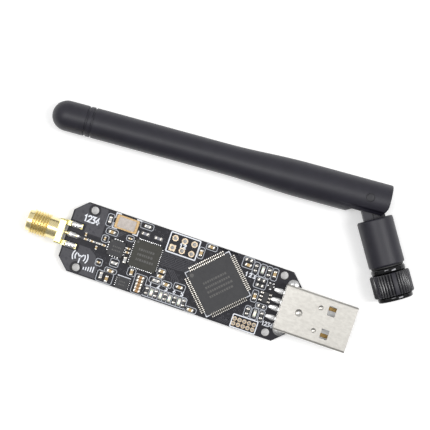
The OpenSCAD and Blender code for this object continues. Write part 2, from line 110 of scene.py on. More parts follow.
UP = Vector((0, 0, 1))
ALONG = Vector((1, 0, 0))
ON_BOARD = frame_along(ALONG, UP, Vector((board_mid.x, board_mid.y, board_high.z)))
IN_WHIP = frame_along(whip_axis, hinge_axis, pivot)
IN_BASE = frame_along(base_axis, hinge_axis, pivot)

# ---------------------------------------------------------------- materials


def new_material(name):
    """A material with its shader and the object's own coordinates in millimetres."""
    made = bpy.data.materials.new(name)
    made.use_nodes = True
    tree = made.node_tree
    shader = tree.nodes["Principled BSDF"]
    place = tree.nodes.new("ShaderNodeTexCoord").outputs["Object"]
    scaled = tree.nodes.new("ShaderNodeVectorMath")
    scaled.operation = "SCALE"
    scaled.inputs["Scale"].default_value = 1 / MM
    tree.links.new(place, scaled.inputs[0])
    return made, tree, shader, scaled.outputs["Vector"]


def noise(tree, place, size, detail=3.0, stretch=None):
    """Noise whose features are about size millimetres across."""
    node = tree.nodes.new("ShaderNodeTexNoise")
    node.inputs["Scale"].default_value = 1 / size
    node.inputs["Detail"].default_value = detail
    if stretch:
        pull = tree.nodes.new("ShaderNodeVectorMath")
        pull.operation = "MULTIPLY"
        pull.inputs[1].default_value = stretch
        tree.links.new(place, pull.inputs[0])
        place = pull.outputs["Vector"]
    tree.links.new(place, node.inputs["Vector"])
    return node.outputs["Fac"]


def mapped(tree, value, low, high, start=0.3, stop=0.7):
    node = tree.nodes.new("ShaderNodeMapRange")
    node.inputs["From Min"].default_value = start
    node.inputs["From Max"].default_value = stop
    node.inputs["To Min"].default_value = low
    node.inputs["To Max"].default_value = high
    tree.links.new(value, node.inputs["Value"])
    return node.outputs["Result"]


def mixed(tree, factor, first, second):
    """Mixes two colours, each a tuple or a socket."""
    node = tree.nodes.new("ShaderNodeMix")
    node.data_type = "RGBA"
    tree.links.new(factor, node.inputs["Factor"])
    for socket, colour in ((node.inputs["A"], first), (node.inputs["B"], second)):
        if isinstance(colour, tuple):
            socket.default_value = (*colour, 1)
        else:
            tree.links.new(colour, socket)
    return node.outputs["Result"]


def bumped(tree, shader, height, depth):
    """A bump of about depth millimetres."""
    node = tree.nodes.new("ShaderNodeBump")
    node.inputs["Distance"].default_value = depth * MM
    node.inputs["Strength"].default_value = 1.0
    tree.links.new(height, node.inputs["Height"])
    tree.links.new(node.outputs["Normal"], shader.inputs["Normal"])


def surface(name, light, dark, rough, spread=1.5, grain=0.25, depth=0.004, metal=0.0,
            gloss=0.5, coat=0.0, stretch=None):
    """A general material: mottled colour, uneven roughness and a fine grain.
    light and dark are the mottle's colours, rough its lowest and highest roughness."""
    made, tree, shader, place = new_material(name)
    mottle = noise(tree, place, spread, 4.0, stretch)
    fine = noise(tree, place, grain, 5.0, stretch)
    colour = mixed(tree, mapped(tree, mottle, 0, 1), light, dark)
    tree.links.new(colour, shader.inputs["Base Color"])
    tree.links.new(mapped(tree, fine, rough[0], rough[1]), shader.inputs["Roughness"])
    shader.inputs["Metallic"].default_value = metal
    shader.inputs["Specular IOR Level"].default_value = gloss
    shader.inputs["Coat Weight"].default_value = coat
    bumped(tree, shader, fine, depth)
    return made


def grey(value, warm=0.0):
    return (value * (1 + warm), value, value * (1 - warm))


gold = surface("gold_plate", (0.93, 0.82, 0.48), (0.84, 0.71, 0.38), (0.20, 0.30), 2.0, 0.15,
               0.002, metal=1.0)
# Painted shade: a darker gold for the thread's grooves, standing in for the shade down in them.
groove_shade_gold = surface("groove_shade_gold", (0.84, 0.71, 0.38), (0.70, 0.58, 0.29), (0.30, 0.42), 1.0, 0.15,
                    0.002, metal=1.0)
satin_gold = surface("satin_gold", (0.70, 0.63, 0.29), (0.60, 0.53, 0.22), (0.26, 0.36), 1.5, 0.15,
                     0.002, metal=1.0)
# Painted shade: the contacts' gold is darkened to the brown it shows in the shade inside the shell.
shade_darkened_contact_gold = surface("shade_darkened_contact_gold", (0.36, 0.235, 0.085), (0.17, 0.105, 0.035), (0.2, 0.38), 0.5,
                       0.2, 0.002, metal=1.0)
ring_gold = surface("ring_gold", (0.50, 0.41, 0.30), (0.35, 0.28, 0.20), (0.25, 0.42), 0.4, 0.12,
                    0.004, metal=0.85)
solder = surface("solder", grey(0.72), grey(0.48), (0.14, 0.34), 0.5, 0.2, 0.008, metal=1.0)
tin = surface("tin_plate", (0.68, 0.65, 0.60), (0.50, 0.475, 0.43), (0.22, 0.42), 0.5, 0.12,
              0.003, metal=1.0)
plug_steel = surface("plug_steel", (0.54, 0.525, 0.49), (0.45, 0.435, 0.405), (0.28, 0.36), 0.7,
                     0.12, 0.003, metal=1.0, stretch=(0.7, 1.3, 1.3))
lid_steel = surface("lid_steel", (0.34, 0.31, 0.29), (0.27, 0.245, 0.228), (0.40, 0.52), 0.9, 0.15,
                    0.002, metal=1.0)
rim_gold = surface("rim_gold", (0.40, 0.28, 0.15), (0.31, 0.215, 0.11), (0.36, 0.48), 0.5, 0.15,
                   0.003, metal=0.9)
chip_black = surface("chip_black", (0.033, 0.033, 0.036), (0.026, 0.026, 0.029), (0.5, 0.7), 1.2,
                     0.09, 0.006)
chip_olive = surface("chip_olive", (0.034, 0.033, 0.026), (0.026, 0.025, 0.019), (0.45, 0.62),
                     1.5, 0.09, 0.005, gloss=0.4)
chip_mark = surface("chip_mark", grey(0.10, 0.03), grey(0.075, 0.03), (0.5, 0.7), 0.3, 0.06, 0.002)
ceramic_tan = surface("ceramic_tan", (0.52, 0.37, 0.17), (0.38, 0.26, 0.11), (0.4, 0.6), 0.6,
                      0.08, 0.003)
ceramic_brown = surface("ceramic_brown", (0.40, 0.22, 0.08), (0.29, 0.15, 0.05), (0.4, 0.6), 0.6,
                        0.08, 0.003)
ferrite_grey = surface("ferrite_grey", (0.24, 0.24, 0.27), (0.17, 0.17, 0.19), (0.4, 0.6), 0.6,
                       0.08, 0.003)
ceramic_white = surface("ceramic_white", grey(0.50), grey(0.36), (0.4, 0.6), 0.6, 0.08, 0.003)
resistor_black = surface("resistor_black", grey(0.030), grey(0.020), (0.25, 0.45), 0.5, 0.08,
                         0.002, coat=0.2)
light_base = surface("light_base", (0.62, 0.62, 0.56), (0.5, 0.5, 0.44), (0.4, 0.6), 0.6, 0.08,
                     0.002)
legend = surface("legend_ink", (0.86, 0.88, 0.93), (0.72, 0.75, 0.81), (0.55, 0.75), 0.35, 0.08,
                 0.003)
fine_legend = surface("fine_legend_ink", (0.50, 0.52, 0.56), (0.38, 0.40, 0.44), (0.55, 0.75),
                      0.35, 0.08, 0.003)
teflon = surface("insulator_white", grey(0.84, 0.01), grey(0.76, 0.015), (0.45, 0.6), 1.5, 0.1,
                 0.003)
plug_plastic = surface("plug_plastic", grey(0.86), grey(0.80), (0.38, 0.52), 1.5, 0.1, 0.002)
antenna_plastic = surface("antenna_plastic", (0.0125, 0.0115, 0.0200), (0.0090, 0.0082, 0.0150),
                          (0.42, 0.52), 3.0, 0.09, 0.012)
grip_plastic = surface("grip_plastic", (0.0170, 0.0165, 0.0200), (0.0120, 0.0118, 0.0150),
                       (0.22, 0.27), 2.0, 0.06, 0.001, gloss=0.75)
black_chrome = surface("black_chrome", (0.036, 0.036, 0.038), (0.027, 0.027, 0.028), (0.03, 0.07),
                       1.5, 0.15, 0.001, metal=1.0)
# Painted shade: the connector barrel shows only as a thin line in the shadowed gap between the base and the
# nut's collar, so it is painted near black and rough.
gap_shade_black = surface("gap_shade_black", (0.012, 0.012, 0.013), (0.008, 0.008, 0.009), (0.5, 0.65),
                      1.5, 0.15, 0.002)
pin_steel = surface("pin_steel", (0.0115, 0.0108, 0.0165), (0.0085, 0.0080, 0.0125), (0.46, 0.56),
                    0.5, 0.08, 0.004)
copper = surface("copper", (0.86, 0.44, 0.25), (0.70, 0.32, 0.17), (0.25, 0.42), 1.0, 0.12,
                 0.003, metal=1.0)
brass = surface("brass_tube", (0.82, 0.62, 0.28), (0.66, 0.47, 0.19), (0.25, 0.42), 1.5, 0.12,
                0.003, metal=1.0)
bronze = surface("spring_bronze", (0.62, 0.48, 0.30), (0.50, 0.38, 0.22), (0.3, 0.45), 0.8, 0.12,
                 0.003, metal=1.0)
cable_black = surface("cable_black", grey(0.02), grey(0.014), (0.35, 0.5), 1.0, 0.1, 0.004)


def board_material():
    """Black solder mask on the two faces, and the laminate's glass layers on the cut edges."""
    made, tree, shader, place = new_material("solder_mask")
    normal = tree.nodes.new("ShaderNodeNewGeometry").outputs["Normal"]
    split = tree.nodes.new("ShaderNodeSeparateXYZ")
    tree.links.new(normal, split.inputs[0])
    facing = tree.nodes.new("ShaderNodeMath")
    facing.operation = "ABSOLUTE"
    tree.links.new(split.outputs["Z"], facing.inputs[0])
    is_face = mapped(tree, facing.outputs[0], 0, 1, 0.5, 0.8)
    mottle = mapped(tree, noise(tree, place, 2.2, 4.0), 0, 1)
    weave = noise(tree, place, 0.35, 2.0, (1, 3, 1))
    mask = mixed(tree, mottle, (0.009, 0.0088, 0.0135), (0.013, 0.0125, 0.018))
    layers = noise(tree, place, 0.5, 3.0, (0.3, 0.3, 9))
    edge = mixed(tree, mapped(tree, layers, 0, 1), (0.11, 0.10, 0.07), (0.20, 0.18, 0.13))
    tree.links.new(mixed(tree, is_face, edge, mask), shader.inputs["Base Color"])
    tree.links.new(mapped(tree, weave, 0.34, 0.5), shader.inputs["Roughness"])
    shader.inputs["Specular IOR Level"].default_value = 0.22
    bumped(tree, shader, weave, 0.004)
    return made


def lens_material():
    """Clear epoxy over a pale yellow light."""
    made, tree, shader, place = new_material("light_lens")
    cloud = mapped(tree, noise(tree, place, 0.5, 3.0), 0, 1)
    tint = mixed(tree, cloud, (0.95, 0.94, 0.84), (0.90, 0.88, 0.74))
    tree.links.new(tint, shader.inputs["Base Color"])
    tree.links.new(mapped(tree, cloud, 0.14, 0.28, 0, 1), shader.inputs["Roughness"])
    shader.inputs["Subsurface Weight"].default_value = 0.3
    shader.inputs["Subsurface Scale"].default_value = 0.3 * MM
    return made


solder_mask = board_material()
light_lens = lens_material()
trace_mask = surface("trace_mask", (0.036, 0.0355, 0.045), (0.028, 0.0275, 0.036), (0.32, 0.46),
                     1.5, 0.12, 0.003, gloss=0.35)

# ---------------------------------------------------------------- mesh helpers, in millimetres


def soften(points, radius, steps=3, closed=True):
    """Rounds each corner of an outline with a short curve."""
    out = []
    count = len(points)
    for i, point in enumerate(points):
        if not closed and i in (0, count - 1):
            out.append(tuple(point))
            continue
        here = Vector(point)
        before = Vector(points[i - 1]) - here
        after = Vector(points[(i + 1) % count]) - here
        reach = min(radius, before.length * 0.45, after.length * 0.45)
        if reach < 1e-6:
            out.append(tuple(point))
            continue
        start = here + before.normalized() * reach
        stop = here + after.normalized() * reach
        for k in range(steps + 1):
            t = k / steps
            bent = start * (1 - t) ** 2 + here * (2 * t * (1 - t)) + stop * t * t
            out.append(tuple(bent))
    return out


def arc(x, y, r, start, stop, steps):
    """Points along an arc, from one angle to another, in degrees."""
    angles = [math.radians(start + (stop - start) * i / steps) for i in range(steps + 1)]
    return [(x + r * math.cos(a), y + r * math.sin(a)) for a in angles]


def add_prism(bm, outline, low, high, tool=None, slot=0, top_outline=None):
    """A closed prism over an [x, y] outline between two heights. Its top may have an outline of
    its own, with as many points."""
    tool = tool or Matrix.Identity(4)
    bottom = [bm.verts.new(tool @ Vector((x, y, low))) for x, y in outline]
    top = [bm.verts.new(tool @ Vector((x, y, high))) for x, y in top_outline or outline]
    faces = [bm.faces.new(bottom[::-1]), bm.faces.new(top)]
    for i in range(len(outline)):
        j = (i + 1) % len(outline)
        faces.append(bm.faces.new((bottom[i], bottom[j], top[j], top[i])))
    for face in faces:
        face.material_index = slot


def rectangle(l, w, x=0.0, y=0.0):
    x0, x1 = x - l / 2, x + l / 2
    y0, y1 = y - w / 2, y + w / 2
    return [(x0, y0), (x1, y0), (x1, y1), (x0, y1)]


def round_edges(bm, edges, edge, segments=2):
    bmesh.ops.bevel(bm, geom=edges, offset=edge, segments=segments, affect="EDGES", profile=0.5)


def add_block(bm, size, tool, edge=0.06, slot=0, draft=0.0, segments=2):
    """A block from z = 0 with rounded edges. draft narrows its top by that much on each side."""
    l, w, h = size
    part = bmesh.new()
    add_prism(part, rectangle(l, w), 0, h, top_outline=rectangle(l - 2 * draft, w - 2 * draft))
    if edge:
        round_edges(part, part.edges[:], edge, segments)
    add_mesh(bm, part, tool, slot)


def add_mesh(bm, part, tool, slot=0):
    """Moves one bmesh's geometry into another."""
    place = {vert: bm.verts.new(tool @ vert.co) for vert in part.verts}
    for face in part.faces:
        bm.faces.new([place[v] for v in face.verts]).material_index = slot
    part.free()


def add_lathe(bm, profile, segments=96, shape=None, closed=False, slot=0, tool=None):
    """Turns a profile of (radius, x) about X. shape(i, x, angle), if given, returns a change
    of radius for station i. A radius of 0 makes a pole. closed joins the last station to the
    first."""
    tool = tool or Matrix.Identity(4)
    rings = []
    for i, (r, x) in enumerate(profile):
        if r < 1e-7:
            rings.append([bm.verts.new(tool @ Vector((x, 0, 0)))])
            continue
        ring = []
        for k in range(segments):
            a = 2 * math.pi * k / segments
            here = r + (shape(i, x, a) if shape else 0)
            ring.append(bm.verts.new(tool @ Vector((x, here * math.cos(a), here * math.sin(a)))))
        rings.append(ring)
    pairs = list(zip(rings, rings[1:]))
    if closed:
        pairs.append((rings[-1], rings[0]))
    for one, two in pairs:
        if len(one) == len(two) == 1:
            continue
        for k in range(segments):
            j = (k + 1) % segments
            if len(one) == 1:
                loop = (one[0], two[j], two[k])
            elif len(two) == 1:
                loop = (one[k], one[j], two[0])
            else:
                loop = (one[k], one[j], two[j], two[k])
            bm.faces.new(loop).material_index = slot


def add_ribbon(bm, points, width, thick, closed=False, slot=0):
    """A thin flat strip of even width along a path, from z = 0, with mitred corners."""
    path = [Vector(p) for p in points]
    count = len(path)
    left, right = [], []
    for i, here in enumerate(path):
        ahead = path[(i + 1) % count] - here if closed or i < count - 1 else None
        behind = here - path[i - 1] if closed or i > 0 else None
        one = (ahead or behind).normalized()
        two = (behind or ahead).normalized()
        across = Vector((-(one + two).y, (one + two).x)).normalized()
        widen = min(2.0, 1 / max(0.3, across.dot(Vector((-one.y, one.x)))))
        shift = across * width / 2 * widen
        stretch = Vector((0, 0))
        if not closed and i == 0:
            stretch = -one * width / 2
        if not closed and i == count - 1:
            stretch = two * width / 2
        left.append(here + shift + stretch)
        right.append(here - shift + stretch)
    layers = [[bm.verts.new((p.x, p.y, z)) for p in side] for side in (left, right) for z in (0, thick)]
    left_low, left_high, right_low, right_high = layers
    for i in range(count if closed else count - 1):
        j = (i + 1) % count
        for a, b in ((left_high, right_high), (right_low, left_low), (left_low, left_high),
                     (right_high, right_low)):
            bm.faces.new((a[i], b[i], b[j], a[j])).material_index = slot
    if not closed:
        for i, order in ((0, 1), (count - 1, -1)):
            ring = [left_low[i], left_high[i], right_high[i], right_low[i]]
            bm.faces.new(ring[::-1] if order > 0 else ring).material_index = slot


def mesh_of(name, bm):
    """A mesh from a bmesh, which is used up."""
    mesh = bpy.data.meshes.new(name)
    bm.to_mesh(mesh)
    bm.free()
    return mesh


def new_object(name, data):
    made = bpy.data.objects.new(name, data)
    bpy.context.scene.collection.objects.link(made)
    return made


def finish_piece(name, bm, tool, body, materials, replaces=(), smooth=True):
    """Turns a bmesh in local millimetres into a piece that rides on a body."""
    bmesh.ops.recalc_face_normals(bm, faces=bm.faces[:])
    mesh = mesh_of(name, bm)
    mesh.transform(tool)
    made = new_object(name, mesh)
    for item in materials:
        mesh.materials.append(item)
    if smooth:
        mesh.shade_smooth()
        mesh.set_sharp_from_angle(angle=SMOOTH_ANGLE)
        flatten = made.modifiers.new("flat_faces", "WEIGHTED_NORMAL")
        flatten.keep_sharp = True
    if body:
        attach(made, body)
    if replaces:
        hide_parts(*replaces)
    return made


def board_piece(name, bm, materials, replaces=(), smooth=True):
    finish_piece(name, bm, ON_BOARD, "board", materials, replaces, smooth)


def local_object(bm, name="cutter"):
    """A plain object in local millimetres, for cutting."""
    bmesh.ops.recalc_face_normals(bm, faces=bm.faces[:])
    return new_object(name, mesh_of(name, bm))


def carved(bm, cuts=(), joins=(), edge=0.0, steps=2):
    """A bmesh after exact cuts and joins, with its sharp edges rounded by edge."""
    target = local_object(bm, "target")
    tools = []
    for operation, parts in (("UNION", joins), ("DIFFERENCE", cuts)):
        for part in parts:
            tool = local_object(part)
            tools.append(tool)
            step = target.modifiers.new("cut", "BOOLEAN")
            step.operation = operation
            step.solver = "EXACT"
            step.object = tool
    if edge:
        soft = target.modifiers.new("edge", "BEVEL")
        soft.width = edge
        soft.segments = steps
        soft.limit_method = "ANGLE"
        soft.angle_limit = math.radians(38)
        soft.use_clamp_overlap = True
    bpy.context.view_layer.update()
    mesh = bpy.data.meshes.new_from_object(target.evaluated_get(bpy.context.evaluated_depsgraph_get()))
    out = bmesh.new()
    out.from_mesh(mesh)
    for thing in (target, *tools):
        bpy.data.objects.remove(thing)
    return out


def prism_tool(outline, low, high, tool=None):
    part = bmesh.new()
    add_prism(part, outline, low, high, tool)
    return part


def lathe_tool(profile, segments=64, tool=None):
    part = bmesh.new()
    add_lathe(part, profile, segments, tool=tool)
    return part


def bar_tool(r, start, stop, segments=48, tool=None):
    return lathe_tool([(0, start), (r, start), (r, stop), (0, stop)], segments, tool)


def dimple_tool(r, step, middle, segments):
    """A ball that cuts a dimple, in steps of so many degrees."""
    profile = [(r * math.sin(math.radians(a)), -r * math.cos(math.radians(a))) for a in range(0, 181, step)]
    return lathe_tool(profile, segments, Matrix.Translation(middle))


def at(x, y, turn=0.0, z=0.0):
    return Matrix.Translation((x, y, z)) @ Matrix.Rotation(math.radians(turn), 4, "Z")


X_TO_Z = Matrix.Rotation(-math.pi / 2, 4, "Y")
Y_TO_Z = Matrix.Rotation(math.pi / 2, 4, "X")

# ---------------------------------------------------------------- board and its printing

JACK_LEG_Y = 2.6
HOLE_X = 25.4
HOLE_Y = 7.62
PRINT_TOP = 0.035
LINE = 0.17
WIDE_HEADER = (-1.3, 6.33)
WIDE_PITCH = 2.54
FINE_HEADER = (19.5, -7.4)
FINE_PITCH = 1.27
MCU_AT = (10.05, 0.05)
RADIO_AT = (-9.6, 0.85)
AMPLIFIER_AT = (-17.2, 0.25)
REGULATOR_AT = (-12.95, -7.55)
SURGE_AT = (22.5, 0.8)
LOGIC_AT = (23.0, 3.9)
CRYSTAL_AT = (-16.6, 6.95)

SMALL_CHIP = (1.0, 0.5, 0.5)
FLAT_CHIP = (1.6, 0.8, 0.45)
TALL_CHIP = (1.6, 0.8, 0.8)
SMALL_CAPACITORS = [(-25.25, 0, 0), (-23.6, 0, 0), (-20.4, 0, 0), (-25.6, 1.15, 90), (-22.1, -1.2, 90),
                    (-20.7, 1.7, 90), (-20.3, -4.5, 0), (-14.6, 3.75, 0), (-14.25, 1.2, 0),
                    (-14.25, 0.2, 0)]
CAPACITORS = [(-19.5, 3.85, 0), (-16.8, -5.6, 0), (-17.1, -7.8, 90), (-11.6, -4.15, 90),
              (-8.9, -4.7, 0), (-8.9, -5.6, 0), (-8.9, -6.5, 0), (-8.9, -7.35, 0), (-8.9, -8.2, 0),
              (-4.4, -1.5, 0), (-4.4, -2.8, 0), (-2.3, -4.3, 0), (1.1, -3.85, 0), (5.5, -8.4, 0),
              (3.5, 6.15, 90), (5.55, 8.4, 0), (15.8, 7.15, 0), (19.85, 0.2, 90), (22.9, 7.1, 90)]
RESISTORS = [(-11.4, 6.15, 0), (-7.9, 6.1, 0), (15.6, 8.4, 0), (17.9, 7.0, 90), (21.4, 7.0, 90),
             (20.2, 4.6, 0), (20.2, 3.2, 0), (22.2, -1.7, 0), (19.35, -4.0, 90), (23.1, -4.0, 90),
             (-6.5, -7.35, 90), (-4.1, -7.35, 90), (-1.6, -7.35, 90), (0.95, -7.35, 90),
             (3.3, -7.35, 90)]
INDUCTORS = [(-20.95, 6.7, 90), (-18.7, -7.4, 90), (-11.4, 8.1, 0), (-14.2, -1.8, 90),
             (-16.5, -3.4, 0), (-5.1, -4.2, 0)]
SMALL_INDUCTORS = [(-21.95, 0, 0)]
LIGHTS = [(-5.2, -7.4, 90), (-2.75, -7.4, 90), (-0.4, -7.4, 90), (2.2, -7.4, 90), (19.75, 7.1, 90),
          (21.3, -4.0, 90)]
# The printed boxes round the parts: low and high x, low and high y.
BOXES = [(-21.8, -20.2, 5.0, 8.2), (-21.1, -18.0, 3.1, 4.6), (-21.5, -19.8, 0.8, 2.6),
         (-21.1, -19.4, -5.4, -3.6), (-18.3, -15.2, -6.15, -4.95), (-19.8, -15.6, -9.0, -6.2),
         (-13.3, -9.9, 7.3, 8.9), (-15.6, -13.7, 3.1, 4.5), (-17.6, -15.4, -4.35, -2.35),
         (-12.7, -10.6, -5.15, -3.15), (-10.4, -7.3, -9.0, -4.0), (-6.8, -3.6, -4.95, -3.5),
         (-5.4, -3.4, -3.3, -0.9), (-3.4, -0.9, -4.95, -3.5), (-0.4, 2.6, -4.8, -3.0),
         (4.0, 7.1, -9.05, -7.7), (2.8, 4.25, 4.7, 7.6), (4.2, 7.1, 7.6, 9.05),
         (14.2, 17.1, 6.3, 9.0), (17.2, 18.7, 5.4, 8.6), (18.9, 20.6, 5.4, 8.6),
         (20.7, 22.1, 5.4, 8.6), (22.2, 23.7, 5.4, 8.6), (18.6, 21.8, 2.4, 5.2),
         (19.1, 20.6, -1.3, 1.8), (20.8, 23.7, -2.4, -1.1), (18.6, 20.1, -5.5, -2.6),
         (20.4, 22.1, -5.5, -2.6), (22.4, 23.8, -5.5, -2.6)]
LIGHT_ROW = (-7.3, 4.0, -8.8, -6.0)


def octagon(x0, x1, y0, y1, cut):
    return [(x0 + cut, y0), (x1 - cut, y0), (x1, y0 + cut), (x1, y1 - cut), (x1 - cut, y1),
            (x0 + cut, y1), (x0, y1 - cut), (x0, y0 + cut)]


def header_places(middle, pitch, columns):
    for row in (-0.5, 0.5):
        for i in range(columns):
            yield middle[0] + (i - (columns - 1) / 2) * pitch, middle[1] + row * pitch


# The strokes of plain digits in a box 1 wide and 2 high.
DIGITS = {
    "1": [[(0.2, 1.6), (0.55, 2.0), (0.55, 0.0)]],
    "2": [[(0, 1.7), (0.3, 2.0), (0.7, 2.0), (1, 1.7), (1, 1.3), (0, 0.0), (1, 0.0)]],
    "3": [[(0, 2.0), (1, 2.0), (0.45, 1.15), (1, 0.8), (1, 0.3), (0.7, 0.0), (0, 0.0)]],
    "4": [[(0.75, 0.0), (0.75, 2.0), (0, 0.6), (1.05, 0.6)]],
    "5": [[(1, 2.0), (0.1, 2.0), (0, 1.15), (0.7, 1.15), (1, 0.85), (1, 0.3), (0.7, 0), (0, 0.0)]],
}


def add_digits(bm, figures, x, y, height, step, width):
    """Plain digits in a row, the first one's lower left corner at [x, y]."""
    for i, figure in enumerate(figures):
        for stroke in DIGITS[figure]:
            points = [(x + i * step + px * height / 2, y + py * height / 2) for px, py in stroke]
            add_ribbon(bm, points, width, PRINT_TOP)


def add_arc(bm, x, y, r, start, stop, width):
    add_ribbon(bm, arc(x, y, r, start, stop, 10), width, PRINT_TOP)


def board_legend():
    """The white printing: boxes, corner marks, plain digits and an antenna sign."""
    bm = bmesh.new()
    for x0, x1, y0, y1 in BOXES:
        add_ribbon(bm, octagon(x0, x1, y0, y1, 0.3), LINE, PRINT_TOP, True, 1)
    x0, x1, y0, y1 = LIGHT_ROW
    add_ribbon(bm, octagon(x0, x1, y0, y1, 0.3), LINE + 0.05, PRINT_TOP, True, 1)
    lights_in_row = [x for x, y, turn in LIGHTS if y < -6.0]
    for x in lights_in_row:
        for side in (-0.62, 0.62):
            add_ribbon(bm, [(x + side, y0 + 0.2), (x + side, y1 - 0.2)], LINE, PRINT_TOP, slot=1)
    add_ribbon(bm, octagon(-5.25, 2.55, 3.8, 8.9, 0.15), 0.3, PRINT_TOP, closed=True)
    add_ribbon(bm, octagon(16.3, 22.85, -9.0, -5.7, 0.15), 0.26, PRINT_TOP, closed=True)
    low, high = corners("crystal_base")
    cx0 = low.x - board_mid.x - 0.35
    cx1 = high.x - board_mid.x + 0.35
    cy0 = low.y - board_mid.y - 0.2
    cy1 = high.y - board_mid.y + 0.2
    for x, y, dx, dy in ((cx0, cy0, 1, 1), (cx1, cy0, -1, 1), (cx0, cy1, 1, -1), (cx1, cy1, -1, -1)):
        add_ribbon(bm, [(x + 1.1 * dx, y), (x, y), (x, y + 1.2 * dy)], 0.3, PRINT_TOP)
    reach = 8.45 + 0.3
    for turn in range(4):
        tip = Matrix.Rotation(math.radians(90 * turn), 2)
        points = [(reach - 0.75, -0.75), (reach, 0), (reach - 0.75, 0.75)]
        add_ribbon(bm, [Vector(MCU_AT) + tip @ Vector(p) for p in points], 0.24, PRINT_TOP)
    add_ribbon(bm, [(-14.6, -5.9), (-11.3, -5.9)], 0.22, PRINT_TOP)
    add_digits(bm, "1234", -27.4, 4.4, 1.55, 1.02, 0.36)
    add_digits(bm, "12345", -6.3, -5.75, 0.9, 2.1, 0.26)
    add_digits(bm, "123", 15.9, 4.45, 0.9, 1.05, 0.28)
    add_digits(bm, "1234", 23.8, -6.0, 0.95, 0.74, 0.26)
    add_digits(bm, "12", -2.15, 5.8, 1.0, 0.95, 0.34)
    # An antenna sign: a mast, and waves to each side of it.
    add_ribbon(bm, [(-25.2, -6.2), (-25.2, -4.4)], 0.32, PRINT_TOP)
    add_ribbon(bm, [(-25.9, -4.1), (-25.2, -4.9), (-24.5, -4.1)], 0.3, PRINT_TOP)
    for r in (1.3, 2.0):
        add_arc(bm, -25.2, -4.7, r, -32, 32, 0.3)
        add_arc(bm, -25.2, -4.7, r, 148, 212, 0.3)
    # A row of rising bars beside it.
    for i in range(5):
        x = -23.5 + 0.62 * i
        add_ribbon(bm, [(x, -7.4), (x, -7.0 + 0.22 * i)], 0.28, PRINT_TOP)
    board_piece("board_legend", bm, [legend, fine_legend], smooth=False)


def board_traces():
    """Copper lines under the mask, which show as faint ridges, and covered vias."""
    bm = bmesh.new()
    top = 0.018
    for i in range(9):
        y = 0.15 + 0.42 * i
        points = [(-5.6, y), (-0.9 + 0.2 * i, y), (1.2 + 0.42 * i, y * 0.9 + 0.3)]
        add_ribbon(bm, points, 0.2, top)
    for i in range(4):
        x = -3.3 + 0.55 * i
        add_ribbon(bm, [(x, -0.4), (x + 1.9, -2.3), (x + 1.9, -3.2)], 0.2, top)
    for i in range(3):
        add_ribbon(bm, [(-19.0 + 0.5 * i, 3.0), (-17.2 + 0.5 * i, 4.7)], 0.22, top)
        x = WIDE_HEADER[0] + (i - 1) * WIDE_PITCH
        add_ribbon(bm, [(x + 1.0, 4.0), (x + 1.0, 3.4), (x + 2.0, 2.4)], 0.2, top)
    add_ribbon(bm, [(-26.4, 0), (-19.6, 0)], 0.55, top)
    around_hole = [(1.6 * math.cos(math.radians(a)) - HOLE_X, 1.6 * math.sin(math.radians(a)) + HOLE_Y)
                   for a in range(50, -231, -20)]
    add_prism(bm, [(-30.1, 3.7), (-26.3, 3.7), (-26.3, 1.5), (-21.8, 1.5), (-21.8, 4.8), (-22.2, 8.9),
                   *around_hole, (-27.5, 8.9), (-30.1, 6.3)], 0, 0.01)
    add_prism(bm, [(-30.1, -3.7), (-30.1, -6.3), (-27.5, -8.9),
                   *((x, -y) for x, y in reversed(around_hole)), (-20.2, -8.9), (-20.2, -5.8),
                   (-21.6, -3.2), (-23.5, -1.9), (-26.3, -1.9), (-26.3, -3.7)], 0, 0.01)
    for i in range(6):
        add_ribbon(bm, [(4.8 + 0.5 * i, 8.8), (10.4 + 0.5 * i, 8.8)], 0.16, top)
        x = 12.5 + 0.55 * i
        add_ribbon(bm, [(x, -8.7), (x + 1.1, -7.6 + 0.12 * i), (16.2, -7.6 + 0.12 * i)], 0.16, top)
    for side in (-1, 1):
        add_ribbon(bm, [(24.2, side * 1.0), (23.9, side * 1.0)], 0.5, top)
    taken = [(x0 - 0.3, x1 + 0.3, y0 - 0.3, y1 + 0.3) for x0, x1, y0, y1 in BOXES + [LIGHT_ROW]]
    taken += [(-5.6, 2.9, 3.5, 9.2), (16, 23.1, -9.2, -5.4), (-20.2, -13, 4.6, 9.2),
              (-14.2, -5.2, -3.6, 5.3), (-19.9, -14.5, -2.4, 2.9), (-15.2, -10.8, -9.2, -5.7),
              (-30.5, -26.3, -3.8, 3.8), (-28, -23, 4, 9.2), (-27.5, -20, -9.2, -3.2),
              (-26.4, -19.5, -2.1, 1.9), (23.7, 30.5, -9.2, 9.2), (20.9, 24.2, -1, 5)]

    def free(x, y):
        if abs(x - MCU_AT[0]) + abs(y - MCU_AT[1]) < 10.6:
            return False
        return not any(x0 < x < x1 and y0 < y < y1 for x0, x1, y0, y1 in taken)

    placed = []
    for _ in range(1400):
        x = dice.uniform(-29.5, 23.5)
        y = dice.uniform(-8.6, 8.6)
        if not free(x, y) or any(abs(x - a) + abs(y - b) < 1.1 for a, b in placed):
            continue
        if abs(y) > 9.2 - max(0, abs(x) - 27.4) - 0.6:
            continue
        placed.append((x, y))
        rim = [(0, 0), (0.12, 0), (0.12, 0.014), (0.17, 0.024), (0.27, 0.024), (0.31, 0)]
        add_lathe(bm, [(r, z) for r, z in rim], 12, tool=at(x, y) @ X_TO_Z)
    board_piece("board_traces", bm, [trace_mask])


